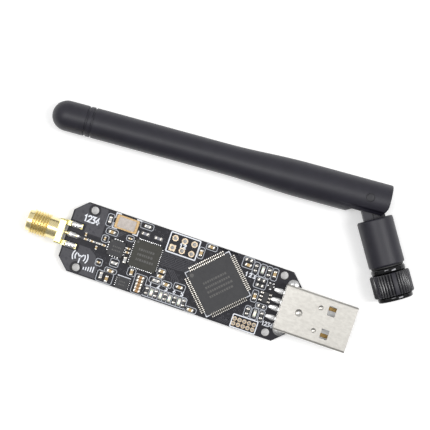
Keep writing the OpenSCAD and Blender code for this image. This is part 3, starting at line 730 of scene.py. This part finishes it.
def header_square_pad():
    """The square pad that marks the wide header's first hole."""
    x, y = next(header_places(WIDE_HEADER, WIDE_PITCH, 3))
    bm = bmesh.new()
    side = 1.66
    hole = 0.52
    outer = []
    inner = []
    steps = 32
    for k in range(steps):
        a = 2 * math.pi * (k + 0.5) / steps
        c, s = math.cos(a), math.sin(a)
        far = side / 2 / max(abs(c), abs(s))
        outer.append((x + far * c, y + far * s))
        inner.append((x + hole * c, y + hole * s))
    for z0, z1 in ((0.0, 0.055), (-board_t - 0.055, -board_t)):
        out_low, out_high, in_low, in_high = (
            [bm.verts.new((px, py, z)) for px, py in ring] for ring in (outer, inner) for z in (z0, z1))
        for k in range(steps):
            j = (k + 1) % steps
            for a_ring, b_ring in ((out_high, in_high), (in_low, out_low), (out_low, out_high),
                                   (in_high, in_low)):
                bm.faces.new((a_ring[k], b_ring[k], b_ring[j], a_ring[j]))
    board_piece("header_square_pad", bm, [ring_gold], smooth=False)


# ---------------------------------------------------------------- packages


def package(name, node, middle, material, edge=0.07, turn=0.0, size=None, draft=0.0, dot=0.35,
            marks=0, mark_l=3.0, mark_step=1.0):
    """A moulded package with a dimple at its first lead and faint plain bars for its marking."""
    size = size or size_of(node)
    tool = at(*middle, turn, seat_of(node))
    bm = bmesh.new()
    add_block(bm, size, tool, edge, 0, draft)
    corner = at(-size[0] / 2 + dot * 2.2, size[1] / 2 - dot * 2.2, 0, size[2])
    add_lathe(bm, [(0, 0.012), (dot * 0.8, 0.012), (dot, 0.0)], 24, slot=1, tool=tool @ corner @ X_TO_Z)
    for i in range(marks):
        y = (marks / 2 - 0.5 - i) * mark_step
        x = -mark_l / 2
        while x < mark_l / 2:
            l = dice.uniform(0.25, 0.6) * min(1, mark_l / 3)
            spot = tool @ at(x + l / 2, y - dot * 0.3, 0, size[2])
            add_prism(bm, rectangle(l, mark_step * 0.45), 0.0, 0.006, spot, 1)
            x += l + 0.18
    board_piece(name, bm,
                [material, chip_mark], [node])


def processor():
    """The large square package, turned 45 degrees, and its four rows of bent leads."""
    low, high = corners("processor_package")
    side = (high.x - low.x) / math.sqrt(2)
    package("processor_package_body", "processor_package", MCU_AT, chip_black, 0.12, 45,
            (side, side, high.z - low.z), 0.12, 0.5, 4, 6.5, 1.25)
    bm = bmesh.new()
    width = 0.23
    thick = 0.14
    lift = low.z - board_high.z + (high.z - low.z) / 2
    centre = soften([(side / 2 - 0.1, lift), (side / 2 + 0.38, lift), (side / 2 + 0.58, thick / 2),
                     (side / 2 + 1.0, thick / 2)], 0.16, 3, closed=False)
    outline = strip_outline(centre, thick)
    for quarter in range(4):
        for i in range(20):
            y = (i - 9.5) * 0.5
            tool = at(*MCU_AT, 45 + 90 * quarter) @ at(0, y) @ Y_TO_Z
            add_prism(bm, outline, -width / 2, width / 2, tool)
    board_piece("processor_lead_rows", bm, [tin], ["processor_leads"])


def strip_outline(centre, thick):
    """The closed outline of a bent strip, from its middle line."""
    path = [Vector(p) for p in centre]
    upper, lower = [], []
    for i, here in enumerate(path):
        ahead = path[min(i + 1, len(path) - 1)] - path[max(i - 1, 0)]
        across = Vector((-ahead.y, ahead.x)).normalized() * thick / 2
        upper.append(tuple(here + across))
        lower.append(tuple(here - across))
    return lower + upper[::-1]


def bent_leads(name, node, middle, body_w, count, pitch, out, width, lift):
    """Bent leads on the two long sides of a small package."""
    bm = bmesh.new()
    thick = 0.13
    centre = soften([(body_w / 2 - 0.05, lift), (body_w / 2 + 0.2, lift), (out - 0.35, thick / 2),
                     (out, thick / 2)], 0.12, 3, closed=False)
    outline = strip_outline(centre, thick)
    for turn in (0, 180):
        for i in range(count):
            y = (i - (count - 1) / 2) * pitch
            tool = at(middle[0], middle[1], turn) @ at(0, y) @ Y_TO_Z
            add_prism(bm, outline, -width / 2, width / 2, tool)
    board_piece(name, bm, [tin], [node])


def pad_row(name, node, middle, side, rows):
    """Short pads with a low bead of solder round a flat package. rows is (turn, count, pitch, width)."""
    bm = bmesh.new()
    reach = 0.38
    for turn, count, pitch, width in rows:
        for i in range(count):
            y = (i - (count - 1) / 2) * pitch
            tool = at(middle[0], middle[1], turn) @ at(side / 2 + reach / 2 - 0.01, y)
            add_block(bm, (reach, width, 0.13), tool, 0.045)
    board_piece(name, bm, [solder], [node])


def crystal_plate(name, node, corner_r, edge, material):
    """One of the crystal's two plates, with rounded corners and a softened upper rim."""
    l, w, h = size_of(node)
    part = bmesh.new()
    add_prism(part, soften(rectangle(l, w), corner_r, 4), 0, h)
    rim = [e for e in part.edges if all(v.co.z > h - 0.001 for v in e.verts)]
    round_edges(part, rim, edge)
    bm = bmesh.new()
    add_mesh(bm, part, at(*CRYSTAL_AT, 0, seat_of(node)))
    board_piece(name, bm, [material], [node])


def crystal():
    crystal_plate("crystal_case", "crystal_base", 0.35, 0.08, rim_gold)
    crystal_plate("crystal_cover", "crystal_lid", 0.3, 0.05, lid_steel)


# ---------------------------------------------------------------- chip parts


END_SHARE = 0.26


def chip_pieces(name, groups, body_materials, nodes, pick=lambda x, y: 0):
    """All parts of one kind: bodies in one piece, metal ends in another.
    groups is a list of (places, size), and pick chooses a part's body material."""
    bodies = bmesh.new()
    ends = bmesh.new()
    for places, size in groups:
        l, w, h = size
        end = END_SHARE * l
        for x, y, turn in places:
            add_block(bodies, (l - 1.6 * end, w * 0.94, h * 0.95), at(x, y, turn, 0.02), 0.03,
                      pick(x, y), segments=1)
            for side in (-1, 1):
                spot = at(x, y, turn) @ at(side * (l - end) / 2, 0)
                add_block(ends, (end, w, h), spot, 0.09 * w, segments=2)
    board_piece(name + "_bodies", bodies, body_materials, [nodes[0]])
    board_piece(name + "_ends", ends, [tin], [nodes[1]])


def chip_solder():
    """The tinned pad and the concave solder fillet at each end of each chip part."""
    bm = bmesh.new()
    groups = [(SMALL_CAPACITORS + SMALL_INDUCTORS, SMALL_CHIP), (CAPACITORS + INDUCTORS, TALL_CHIP),
              (RESISTORS, FLAT_CHIP), (LIGHTS, (1.6, 0.8, 0.3))]
    for places, (l, w, h) in groups:
        reach = 0.32 * w
        rise = 0.7 * h
        section = [(0, 0), (reach, 0), (reach, 0.03), (reach * 0.55, 0.03 + 0.16 * rise),
                   (reach * 0.22, 0.45 * rise), (0, rise)]
        for x, y, turn in places:
            for side in (0, 180):
                tool = (at(x, y, turn + side) @ at(l / 2, 0) @ Y_TO_Z)
                add_prism(bm, section, -w * 0.5, w * 0.5, tool)
    board_piece("chip_solder", bm, [solder])


def lights():
    bases = bmesh.new()
    lenses = bmesh.new()
    for x, y, turn in LIGHTS:
        add_block(bases, (1.6, 0.8, 0.25), at(x, y, turn), 0.03, segments=1)
        add_block(lenses, (1.16, 0.78, 0.4), at(x, y, turn, 0.25), 0.06, 0, 0.05, 3)
    board_piece("light_substrates", bases, [light_base], ["light_bases"])
    board_piece("light_domes", lenses, [light_lens], ["light_lenses"])


# ---------------------------------------------------------------- antenna jack

JACK_PITCH = 0.7056
THREAD_DEPTH = 0.42


def thread_wave(x, angle, pitch, start, stop, depth):
    """How far the thread's groove cuts in at x, fading out at both ends."""
    turn = (x / pitch + angle / (2 * math.pi)) % 1
    wave = abs(2 * turn - 1)
    ease = min(1, max(0, (x - start) / 0.45)) * min(1, max(0, (stop - x) / 0.3))
    return -depth * min(1, max(0, (wave - 0.12) / 0.76)) * ease


def jack():
    """The gold jack: square flange, threaded barrel, bore and four legs."""
    back = jack_high.x - board_mid.x
    flange_back = -board_l / 2 - 0.5
    flange_front = flange_back - 1.6
    mouth = jack_low.x - board_mid.x
    neck_front = flange_front - 2.6
    thread_front = neck_front - 4.3
    radius = (jack_high.z - jack_low.z) / 2
    jack_z = jack_low.z + radius - board_high.z
    in_jack = Matrix.Translation((0, 0, jack_z))
    steps = 132
    neck = 2.7
    run = [(radius, thread_front + (neck_front - thread_front) * i / steps) for i in range(steps + 1)]
    profile = [(2.06, flange_front + 0.4), (2.06, mouth + 1.9), (2.3, mouth + 1.9), (2.3, mouth + 0.15),
               (2.45, mouth), (neck - 0.2, mouth), (neck, mouth + 0.2), (neck, thread_front - 0.06)]
    thread_from = len(profile)
    profile += run
    profile += [(neck, neck_front + 0.06), (neck, flange_front + 0.4)]

    def shape(i, x, angle):
        if thread_from <= i < thread_from + len(run):
            return thread_wave(x, angle, JACK_PITCH, thread_front, neck_front, THREAD_DEPTH)
        return 0

    bm = bmesh.new()
    add_lathe(bm, profile, 96, shape, closed=True, tool=in_jack)
    # Faces deep in the thread's grooves take the darker gold: painted shade in the grooves.
    for face in bm.faces:
        middle = face.calc_center_median()
        r = math.hypot(middle.y, middle.z - jack_z)
        if thread_front < middle.x < neck_front and neck - 0.1 < r < radius - THREAD_DEPTH * 0.55:
            face.material_index = 1
    board_piece("jack_barrel", bm, [gold, groove_shade_gold], ["jack_body"])
    side = 2 * radius
    plate = bmesh.new()
    tool = Matrix.Translation((flange_back, 0, jack_z)) @ X_TO_Z
    add_prism(plate, soften(rectangle(side, side), 0.35, 4), 0, flange_back - flange_front, tool)
    legs = []
    for y in (-JACK_LEG_Y, JACK_LEG_Y):
        for z in (0, -board_t - 1.0):
            part = bmesh.new()
            add_block(part, (back - flange_back + 0.3, 1.2, 1.0),
                      at((back + flange_back - 0.3) / 2, y, 0, z), 0)
            legs.append(part)
    body = carved(plate, [bar_tool(2.06, flange_front - 1, flange_back + 1, tool=in_jack)], legs, 0.1, 2)
    board_piece("jack_flange", body, [satin_gold])


def solder_drop(bm, x0, x1, y, w, h, flip=False, taper=0.35, power=2.0, droop=0.3, ripple=0.0):
    """A long domed run of solder along X. A higher power makes its section squarer, taper
    narrows and droop lowers its far end, and ripple makes its top uneven."""
    along = 22
    around = 16
    rings = []
    phase = dice.uniform(0, 6)
    for i in range(along + 1):
        t = i / along
        x = x0 + (x1 - x0) * t
        half = w / 2 * max(0, 1 - (2 * t - 1) ** 6) ** 0.5 * (1 - taper * t * t)
        tall = h * max(0, 1 - (2 * t - 1) ** 6) ** 0.5 * (1 - droop * t ** 3)
        ring = []
        for k in range(around + 1):
            a = math.pi * k / around
            across = math.copysign(abs(math.cos(a)) ** (2 / power), math.cos(a))
            wave = 1 + ripple * math.sin(5 * x + phase) * math.sin(2.3 * a + 3 * x)
            z = tall * abs(math.sin(a)) ** (2 / power) * wave
            ring.append(bm.verts.new((x, y + half * across, -z - board_t if flip else z)))
        rings.append(ring)
    for one, two in zip(rings, rings[1:]):
        for k in range(around):
            bm.faces.new((one[k], one[k + 1], two[k + 1], two[k]))
        bm.faces.new((one[0], two[0], two[around], one[around]))
    bmesh.ops.remove_doubles(bm, verts=bm.verts[:], dist=1e-5)


def jack_solder():
    bm = bmesh.new()
    x0 = -30.38
    x1 = -26.6
    for y in (JACK_LEG_Y, -JACK_LEG_Y):
        for flip in (False, True):
            solder_drop(bm, x0, x1, y, 1.75, 1.08 if flip else 1.2, flip, 0.1, 3.2, 0.1, 0.05)
    solder_drop(bm, x0, x1, 0, 1.8, 1.0, taper=0.45, power=2.8, droop=0.45, ripple=0.03)
    board_piece("jack_solder_runs", bm, [solder], ["jack_solder"])


# ---------------------------------------------------------------- USB plug


CONTACT_ROWS = (3.5, 1.0, -1.0, -3.5)


def usb_plug():
    """The plug's folded steel shell, with its windows, dimples and seam."""
    x0 = plug_low.x - board_mid.x
    x1 = plug_high.x - board_mid.x
    w = plug_high.y - plug_low.y
    h = plug_high.z - board_high.z
    wall = 0.3
    along = Matrix.Rotation(math.pi / 2, 4, "Z") @ Y_TO_Z
    turn = Matrix.Translation((0, 0, h / 2)) @ along
    outer = bmesh.new()
    add_prism(outer, soften(rectangle(w, h), 0.62, 5), x0, x1, turn)
    hollow = prism_tool(soften(rectangle(w - 2 * wall, h - 2 * wall), 0.38, 5), x0 - 1, x1 + 1, turn)
    cuts = [hollow]
    for side in (-1, 1):
        cuts.append(prism_tool(soften(rectangle(2.0, 2.5, 39.3, side * 3.0), 0.12, 2), -1, h + 1))
        cuts.append(dimple_tool(1.0, 10, (36.4, side * 3.0, h + 0.77), 32))
    cuts.append(dimple_tool(1.46, 5, (31.5, 0, h + 1.12), 48))
    cuts.append(prism_tool(rectangle(x1 - x0 - 1.2, 0.09, (x0 + x1) / 2 + 1, 0.0), -1, wall * 0.8))
    shell = carved(outer, cuts, edge=0.06, steps=2)
    for side in (-1, 1):
        tab = at(28.3, side * (w / 2 - wall / 2), 0, -board_high.z)
        add_block(shell, (1.2, wall, board_high.z + 0.5), tab, 0.05)
    board_piece("usb_shell_folded", shell, [plug_steel], ["usb_shell"])


def usb_inside():
    """The white carrier, and the four contacts with their legs to the board."""
    low, high = corners("usb_tongue")
    x0 = low.x - board_mid.x
    x1 = high.x - board_mid.x
    floor = low.z - board_high.z
    w = high.y - low.y
    tongue_t = 1.95
    block = bmesh.new()
    add_prism(block, rectangle(5, w, x0 + 2.5, 0), floor, high.z - board_high.z)
    tongue = bmesh.new()
    add_prism(tongue, rectangle(x1 - x0, w, (x0 + x1) / 2, 0), floor, floor + tongue_t)
    cuts = []
    for y in CONTACT_ROWS:
        cuts.append(prism_tool(rectangle(40, 1.0, x0, y), floor + tongue_t - 0.15, floor + tongue_t + 0.01))
    body = carved(block, cuts, [tongue], 0.08, 2)
    board_piece("usb_carrier", body, [plug_plastic], ["usb_tongue"])
    bm = bmesh.new()
    lead_z = floor + tongue_t - 0.075
    for y in CONTACT_ROWS:
        spot = at((x0 + x1) / 2 - 0.25, y, 0, lead_z - 0.08)
        add_block(bm, (x1 - x0 - 0.7, 0.96, 0.16), spot, 0.03, segments=1)
    centre = soften([(x0 + 0.9, lead_z), (x0 + 0.35, lead_z), (x0 - 0.2, 0.1), (x0 - 2.3, 0.1)], 0.3, 4,
                    closed=False)
    outline = strip_outline(centre, 0.16)
    for y in CONTACT_ROWS:
        add_prism(bm, outline, -0.35, 0.35, at(0, y) @ Y_TO_Z, 1)
    # The contact strips take gold that is painted dark with the shade inside the shell.
    board_piece("usb_contact_strips", bm, [shade_darkened_contact_gold, solder], ["usb_contacts"])


def usb_solder():
    bm = bmesh.new()
    for y in CONTACT_ROWS:
        solder_drop(bm, 26.75, 23.9, y, 1.55, 0.3, taper=0.45, power=3.5, droop=0.3)
    for side in (-1, 1):
        y = side * (corners("usb_shell")[1].y - board_mid.y - 0.15)
        top = [(0, 0.4), (0.8, 0.36), (1.25, 0.2), (1.5, 0.04), (1.55, 0)]
        add_lathe(bm, top, 28, tool=at(28.4, y) @ X_TO_Z)
        under = [(0, 0.8), (0.5, 0.7), (0.95, 0.3), (1.4, 0.05), (1.45, 0)]
        flip = Matrix.Translation((28.3, y, -board_t)) @ Matrix.Rotation(math.pi / 2, 4, "Y")
        add_lathe(bm, under, 28, tool=flip)
    board_piece("usb_solder_beads", bm, [solder], ["usb_solder"])


# ---------------------------------------------------------------- antenna whip

WHIP_R = 3.87
ELBOW_R = 4.58
WHIP_L = 82.68
CAP_BACK = -73.8
FORK_END = 5.25


def flare(x):
    """The whip's outside radius at x: slim towards the tip and wider at the elbow."""
    t = min(1, max(0, (x + 38) / 21))
    return WHIP_R + (ELBOW_R - WHIP_R) * (1 - math.cos(math.pi * t)) / 2


def whip():
    groove = 0.25
    groove_w = 0.5
    second = -72.05
    low_r = WHIP_R - groove
    outside = [(low_r, CAP_BACK), (low_r, CAP_BACK + groove_w), (WHIP_R, CAP_BACK + groove_w),
               (WHIP_R, second - groove_w / 2), (low_r, second - groove_w / 2),
               (low_r, second + groove_w / 2), (WHIP_R, second + groove_w / 2)]
    outside = soften(outside, 0.1, 2, closed=False)
    outside += [(WHIP_R, -60.0), (WHIP_R, -48.0)]
    outside += [(flare(-38 + 21 * i / 30), -38 + 21 * i / 30) for i in range(31)]
    outside += [(ELBOW_R, -10.0)]
    outside += soften([(ELBOW_R, -6), (ELBOW_R, FORK_END), (2.6, FORK_END)], 0.45, 4, closed=False)[1:-1]
    body = bmesh.new()
    add_lathe(body, [(0, CAP_BACK), *outside, (0, FORK_END)], 96, closed=False)
    deep = 12
    relief = []
    steps = 16
    for i in range(steps + 1):
        a = -math.pi / 2 * (1 - i / steps)
        relief.append((5.4 * math.cos(a), 5.4 * math.sin(a)))
    relief += [(9, 0), (9, -9), (0, -9)]
    flat = [(-5.6, -5.2), (-5.0, -4.6), (-3.3, -3.6), (3.5, -3.6), (4.6, -4.7), (4.6, -5.6), (-5.6, -5.6)]
    slot = soften([(-3.2, -9), (9, -9), (9, 2.85), (-3.2, 2.85)], 0.9, 4)
    cuts = [
        bar_tool(2.6, CAP_BACK - 1, -9),
        bar_tool(0.78, -10, 0, 24),
        prism_tool(relief, -deep / 2, deep / 2),
        prism_tool(flat, -deep / 2, deep / 2),
        prism_tool(slot, -2.1, 2.1),
    ]
    body = carved(body, cuts, edge=0.16, steps=3)
    body = carved(body, [bar_tool(1.1, -8, 8, 32, X_TO_Z.inverted())])
    finish_piece("whip_tube_moulded", body, IN_WHIP, "whip", [antenna_plastic],
                 ["whip_tube"])


def tip_cap():
    steps = 24
    centre = -WHIP_L + WHIP_R
    angles = [math.pi / 2 * i / steps for i in range(steps + 1)]
    dome = [(WHIP_R * math.sin(a), centre - WHIP_R * math.cos(a)) for a in angles]
    rest = soften([(WHIP_R, centre + 0.5), (WHIP_R, CAP_BACK - 0.02), (2.58, CAP_BACK - 0.02)], 0.1, 3,
                  closed=False)
    bm = bmesh.new()
    profile = [*dome, *rest, (2.58, CAP_BACK + 3.3), (0, CAP_BACK + 3.3)]
    add_lathe(bm, profile, 96, closed=False)
    finish_piece("tip_cap_moulded", bm, IN_WHIP, "whip", [antenna_plastic], ["tip_cap"])


def elbow_pins():
    bm = bmesh.new()
    for side in (0, 180):
        tool = Matrix.Rotation(math.radians(side), 4, "X") @ X_TO_Z.inverted()
        profile = [(0, 1.0), (1.08, 1.0), (1.08, 4.4), (0.95, 4.46), (0.5, 4.5), (0, 4.51)]
        add_lathe(bm, profile, 32, tool=tool)
    finish_piece("elbow_pin_studs", bm, IN_WHIP, "whip", [pin_steel], ["elbow_pins"])


# ---------------------------------------------------------------- antenna base


def swivel_base():
    body = bmesh.new()
    outside = soften([(0, 5.5), (4.6, 5.5), (4.6, 17.6), (0, 17.6)], 0.5, 4, closed=False)
    add_lathe(body, outside, 96, closed=False)
    outline = arc(0, 0, 2.7, 90, 270, 28) + [(6.5, -2.7), (6.5, 2.7)]
    tongue = prism_tool(outline, -2.0, 2.0)
    cuts = [
        bar_tool(3.0, 9.2, 18.5),
        bar_tool(0.85, 0, 10, 24),
        prism_tool(rectangle(2.7 + 2.75 + 2, 12, (2.75 - 2.7 - 2) / 2, 0), -0.9, 0.9),
        bar_tool(1.15, -8, 8, 32, X_TO_Z.inverted()),
        prism_tool(rectangle(2.2, 0.35, 4.35, -0.3), 1.6, 2.1),
        prism_tool(rectangle(2.2, 2.6, 4.35, 1.5), 1.6, 2.1),
    ]
    body = carved(body, cuts, [tongue], 0.12, 2)
    finish_piece("swivel_base_moulded", body, IN_BASE, "base", [antenna_plastic],
                 ["swivel_base"])


def elbow_cable():
    """The bent cable in the elbow, bent as far as the hinge's upper limit."""
    reach = 2.6
    bend_r = reach / math.tan(elbow_bend / 2)
    bm = bmesh.new()
    along = 24
    around = 20
    rings = []
    for i in range(along + 1):
        a = math.pi / 2 + elbow_bend * i / along
        middle = Vector((reach + bend_r * math.cos(a), -bend_r + bend_r * math.sin(a), 0))
        out = Vector((math.cos(a), math.sin(a), 0))
        ring = []
        for k in range(around):
            b = 2 * math.pi * k / around
            ring.append(bm.verts.new(middle + out * 0.68 * math.cos(b) + UP * 0.68 * math.sin(b)))
        rings.append(ring)
    for one, two in zip(rings, rings[1:]):
        for k in range(around):
            j = (k + 1) % around
            bm.faces.new((one[k], one[j], two[j], two[k]))
    bm.faces.new(rings[0][::-1])
    bm.faces.new(rings[-1])
    made = finish_piece("elbow_cable_bend", bm, IN_BASE, None, [cable_black])
    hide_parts("elbow_cable")
    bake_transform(made)


GRIP_R = 5.1
RIDGE_STEP = 9
RIDGE_DEPTH = 0.38
FIRST_RIDGE = 36
STRETCH_AT = 48
STRETCH_HALF = 7.5


def from_stretch(angle):
    """How far an angle is from the middle of the nearest smooth stretch, in degrees."""
    return abs((math.degrees(angle) - FIRST_RIDGE - STRETCH_AT + 30) % 60 - 30)


def grip_radius(angle):
    """The fluted grip's outline: six groups of five ridges, with smooth stretches between."""
    off = from_stretch(angle) / STRETCH_HALF
    if off < 1:
        return GRIP_R - 0.05 - (RIDGE_DEPTH - 0.05) * off ** 9
    a = (math.degrees(angle) - FIRST_RIDGE + RIDGE_STEP / 2) % 60 - RIDGE_STEP / 2
    off_crest = abs((a + RIDGE_STEP / 2) % RIDGE_STEP - RIDGE_STEP / 2) / (RIDGE_STEP / 2)
    return GRIP_R - RIDGE_DEPTH * off_crest ** 1.7


def nut_grip():
    x0 = 19.5
    x1 = 25.25
    bm = bmesh.new()
    stations = [x0, x0 + 0.12, x0 + 0.35, (x0 + x1) / 2, x1 - 0.35, x1 - 0.12, x1]
    drops = [0.32, 0.14, 0.0, 0.0, 0.0, 0.14, 0.32]
    profile = [(4.31, x0), *((GRIP_R, x) for x in stations), (4.31, x1)]

    def shape(i, x, angle):
        if 1 <= i <= len(stations):
            return grip_radius(angle) - GRIP_R - drops[i - 1]
        return 0

    add_lathe(bm, profile, 720, shape, closed=True)
    for face in bm.faces:
        middle = face.calc_center_median()
        if from_stretch(math.atan2(middle.z, middle.y)) < STRETCH_HALF - 1:
            face.material_index = 1
    finish_piece("nut_grip_fluted", bm, IN_BASE, "nut", [grip_plastic, antenna_plastic],
                 ["nut_grip"])


def coupling_nut():
    """The nut inside the grip, with its two bright rims and a real thread."""
    thread_back = 22.7
    mouth = 26.5
    steps = 72
    run = [(3.2, mouth - 0.35 - (mouth - 0.35 - thread_back) * i / steps) for i in range(steps + 1)]
    collar = [(4.4 - 0.28 * (2 * i / 12 - 1) ** 4, 18.02 + 1.46 * i / 12) for i in range(13)]
    ring = [(4.5 - 0.3 * (2 * i / 12 - 1) ** 4, 25.28 + 1.2 * i / 12) for i in range(13)]
    profile = [(3.02, 18.02), *collar, (4.3, 19.5), (4.3, 25.26), *ring, (3.5, 26.5)]
    thread_from = len(profile)
    profile += run
    profile += [(3.02, thread_back), (3.02, 20.55), (3.32, 20.55), (3.32, 19.75), (3.02, 19.75)]

    def shape(i, x, angle):
        if thread_from <= i < thread_from + len(run):
            turn = (x / JACK_PITCH + angle / (2 * math.pi)) % 1
            return -0.3 * (1 - abs(2 * turn - 1)) * min(1, (x - thread_back) / 0.2 + 0.01)
        return 0

    bm = bmesh.new()
    add_lathe(bm, profile, 96, shape, closed=True)
    finish_piece("coupling_nut_threaded", bm, IN_BASE, "nut", [black_chrome],
                 ["coupling_nut"])


# ---------------------------------------------------------------- CAD nodes that show as they are

KEPT = {
    "circuit_board": solder_mask, "jack_insulator": teflon, "jack_centre_pin": gold,
    "wide_header_barrels": ring_gold, "fine_header_barrels": ring_gold,
    "radiator_wire": copper, "balun_sleeve": brass, "whip_cable": cable_black, "whip_spacers": teflon,
    # The connector barrel takes the near black of painted shade in its gap.
    "connector_barrel": gap_shade_black, "connector_insulator": teflon, "connector_contact": gold,
    "base_cable": cable_black, "snap_ring": bronze,
}


def dress_kept_nodes():
    for name, material in KEPT.items():
        mesh = frame["nodes"][name].data
        mesh.materials.clear()
        mesh.materials.append(material)
        mesh.shade_smooth()
        mesh.set_sharp_from_angle(angle=SMOOTH_ANGLE)


# ---------------------------------------------------------------- floor, light and camera


DOME_LEVEL = 0.75
FLOOR_GLOW = 0.24


def floor():
    bm = bmesh.new()
    half = 3000
    bm.faces.new([bm.verts.new((x, y, 0)) for x, y in rectangle(2 * half, 2 * half)])
    mesh = mesh_of("floor", bm)
    mesh.transform(Matrix.Scale(MM, 4))
    made = new_object("floor", mesh)
    paper, tree, shader, place = new_material("floor_paper")
    tone = mapped(tree, noise(tree, place, 40, 2.0), 0, 1)
    colour = mixed(tree, tone, grey(0.90), grey(0.915))
    tree.links.new(colour, shader.inputs["Base Color"])
    shader.inputs["Roughness"].default_value = 0.9
    shader.inputs["Specular IOR Level"].default_value = 0.1
    shader.inputs["Emission Color"].default_value = (1, 1, 1, 1)
    shader.inputs["Emission Strength"].default_value = FLOOR_GLOW
    mesh.materials.append(paper)


VIEW_TURN = math.radians(18.94)
VIEW_RIGHT = Vector((math.cos(VIEW_TURN), math.sin(VIEW_TURN), 0))
VIEW_UP = Vector((-math.sin(VIEW_TURN), math.cos(VIEW_TURN), 0))


def lamp(name, right, up, height, size, power):
    """A soft box that hangs over the table and faces the object. Distances are in metres."""
    place = VIEW_RIGHT * right + VIEW_UP * up + UP * height
    data = bpy.data.lights.new(name, "AREA")
    data.shape = "RECTANGLE"
    data.size, data.size_y = size
    data.energy = power
    made = bpy.data.objects.new(name, data)
    made.matrix_world = Matrix.Translation(place) @ (
        place.to_track_quat("Z", "Y").to_matrix().to_4x4() @ Matrix.Rotation(VIEW_TURN, 4, "Z"))
    bpy.context.scene.collection.objects.link(made)


def studio():
    """Two soft boxes, and a dome that is bright overhead and on the far side."""
    scene = bpy.context.scene
    world = bpy.data.worlds.new("studio")
    scene.world = world
    world.use_nodes = True
    tree = world.node_tree
    direction = tree.nodes.new("ShaderNodeTexCoord").outputs["Generated"]
    split = tree.nodes.new("ShaderNodeSeparateXYZ")
    tree.links.new(direction, split.inputs[0])
    across = tree.nodes.new("ShaderNodeVectorMath")
    across.operation = "DOT_PRODUCT"
    across.inputs[1].default_value = VIEW_UP
    tree.links.new(direction, across.inputs[0])
    low_to_high = mapped(tree, split.outputs["Z"], 0.3, 1.0, 0.02, 0.2)
    near_to_far = mapped(tree, across.outputs["Value"], 0.4, 1.0, -0.6, 0.15)
    level = tree.nodes.new("ShaderNodeMath")
    level.operation = "MULTIPLY"
    tree.links.new(low_to_high, level.inputs[0])
    tree.links.new(near_to_far, level.inputs[1])
    strength = tree.nodes.new("ShaderNodeMath")
    strength.operation = "MULTIPLY"
    strength.inputs[1].default_value = DOME_LEVEL
    tree.links.new(level.outputs[0], strength.inputs[0])
    tree.nodes["Background"].inputs["Color"].default_value = (1, 1, 1, 1)
    tree.links.new(strength.outputs[0], tree.nodes["Background"].inputs["Strength"])
    lamp("left_soft_box", -0.25, 0.0, 0.9, (0.18, 0.45), 2.6)
    lamp("right_soft_box", 0.55, 0.0, 0.85, (0.2, 0.5), 4.2)
    scene.view_settings.view_transform = "Standard"
    scene.view_settings.look = "None"


def camera():
    """Straight down, with the board turned as it lies on the table."""
    height = 0.390
    aim_x = 3.7
    aim_y = 16.4
    sensor = 36.0
    pixels = 430
    scale = 3.945
    focal_px = scale * (height / MM - board_high.z)
    data = bpy.data.cameras.new("camera")
    data.sensor_width = sensor
    data.lens = sensor * focal_px / pixels
    data.clip_start = 0.01
    data.clip_end = 20
    made = bpy.data.objects.new("camera", data)
    made.location = ((board_mid.x + aim_x) * MM, (board_mid.y + aim_y) * MM, height)
    made.rotation_euler = (0, 0, VIEW_TURN)
    bpy.context.scene.collection.objects.link(made)
    bpy.context.scene.camera = made


camera()
studio()
floor()

board_legend()
board_traces()
header_square_pad()
processor()
package("radio_package_body", "radio_package", RADIO_AT, chip_olive, 0.05, dot=0.3, marks=3,
        mark_l=4.2, mark_step=1.3)
package("amplifier_package_body", "amplifier_package", AMPLIFIER_AT, chip_black, 0.05, dot=0.2, marks=2,
        mark_l=2.0, mark_step=0.9)
package("regulator_package_body", "regulator_package", REGULATOR_AT, chip_black, 0.05, dot=0.18, marks=2,
        mark_l=1.6, mark_step=0.8)
package("surge_package_body", "surge_package", SURGE_AT, chip_black, 0.06, dot=0.12, draft=0.08)
package("logic_package_body", "logic_package", LOGIC_AT, chip_black, 0.04, dot=0.1)
sides = (0, 90, 180, 270)
pad_row("radio_pad_rows", "radio_pads", RADIO_AT, 7, [(t, 12, 0.5, 0.26) for t in sides])
pad_row("amplifier_pad_rows", "amplifier_pads", AMPLIFIER_AT, 4, [(t, 4, 0.65, 0.32) for t in sides])
pad_row("regulator_pad_rows", "regulator_pads", REGULATOR_AT, 3, [(t, 5, 0.5, 0.24) for t in (0, 180)])
pad_row("logic_pad_rows", "logic_pads", LOGIC_AT, 1.1, [(90, 2, 0.9, 0.4), (0, 1, 1, 0.4), (180, 1, 1, 0.4),
                                                          (270, 1, 1, 0.4)])
bent_leads("surge_lead_rows", "surge_leads", SURGE_AT, 1.6, 3, 0.95, 1.45, 0.38, 0.55)
crystal()
chip_pieces("capacitor", [(CAPACITORS, TALL_CHIP), (SMALL_CAPACITORS, SMALL_CHIP)],
            [ceramic_tan, ceramic_brown], ["capacitor_bodies", "capacitor_ends"],
            lambda x, y: 1 if -9.5 < x < -8.5 else 0)
chip_pieces("resistor", [(RESISTORS, FLAT_CHIP)], [resistor_black, ferrite_grey],
            ["resistor_bodies", "resistor_ends"], lambda x, y: 1 if x < -7 else 0)
chip_pieces("inductor", [(INDUCTORS, TALL_CHIP), (SMALL_INDUCTORS, SMALL_CHIP)],
            [ceramic_white], ["inductor_bodies", "inductor_ends"])
chip_solder()
lights()
jack()
jack_solder()
usb_plug()
usb_inside()
usb_solder()
whip()
tip_cap()
elbow_pins()
swivel_base()
elbow_cable()
nut_grip()
coupling_nut()
dress_kept_nodes()
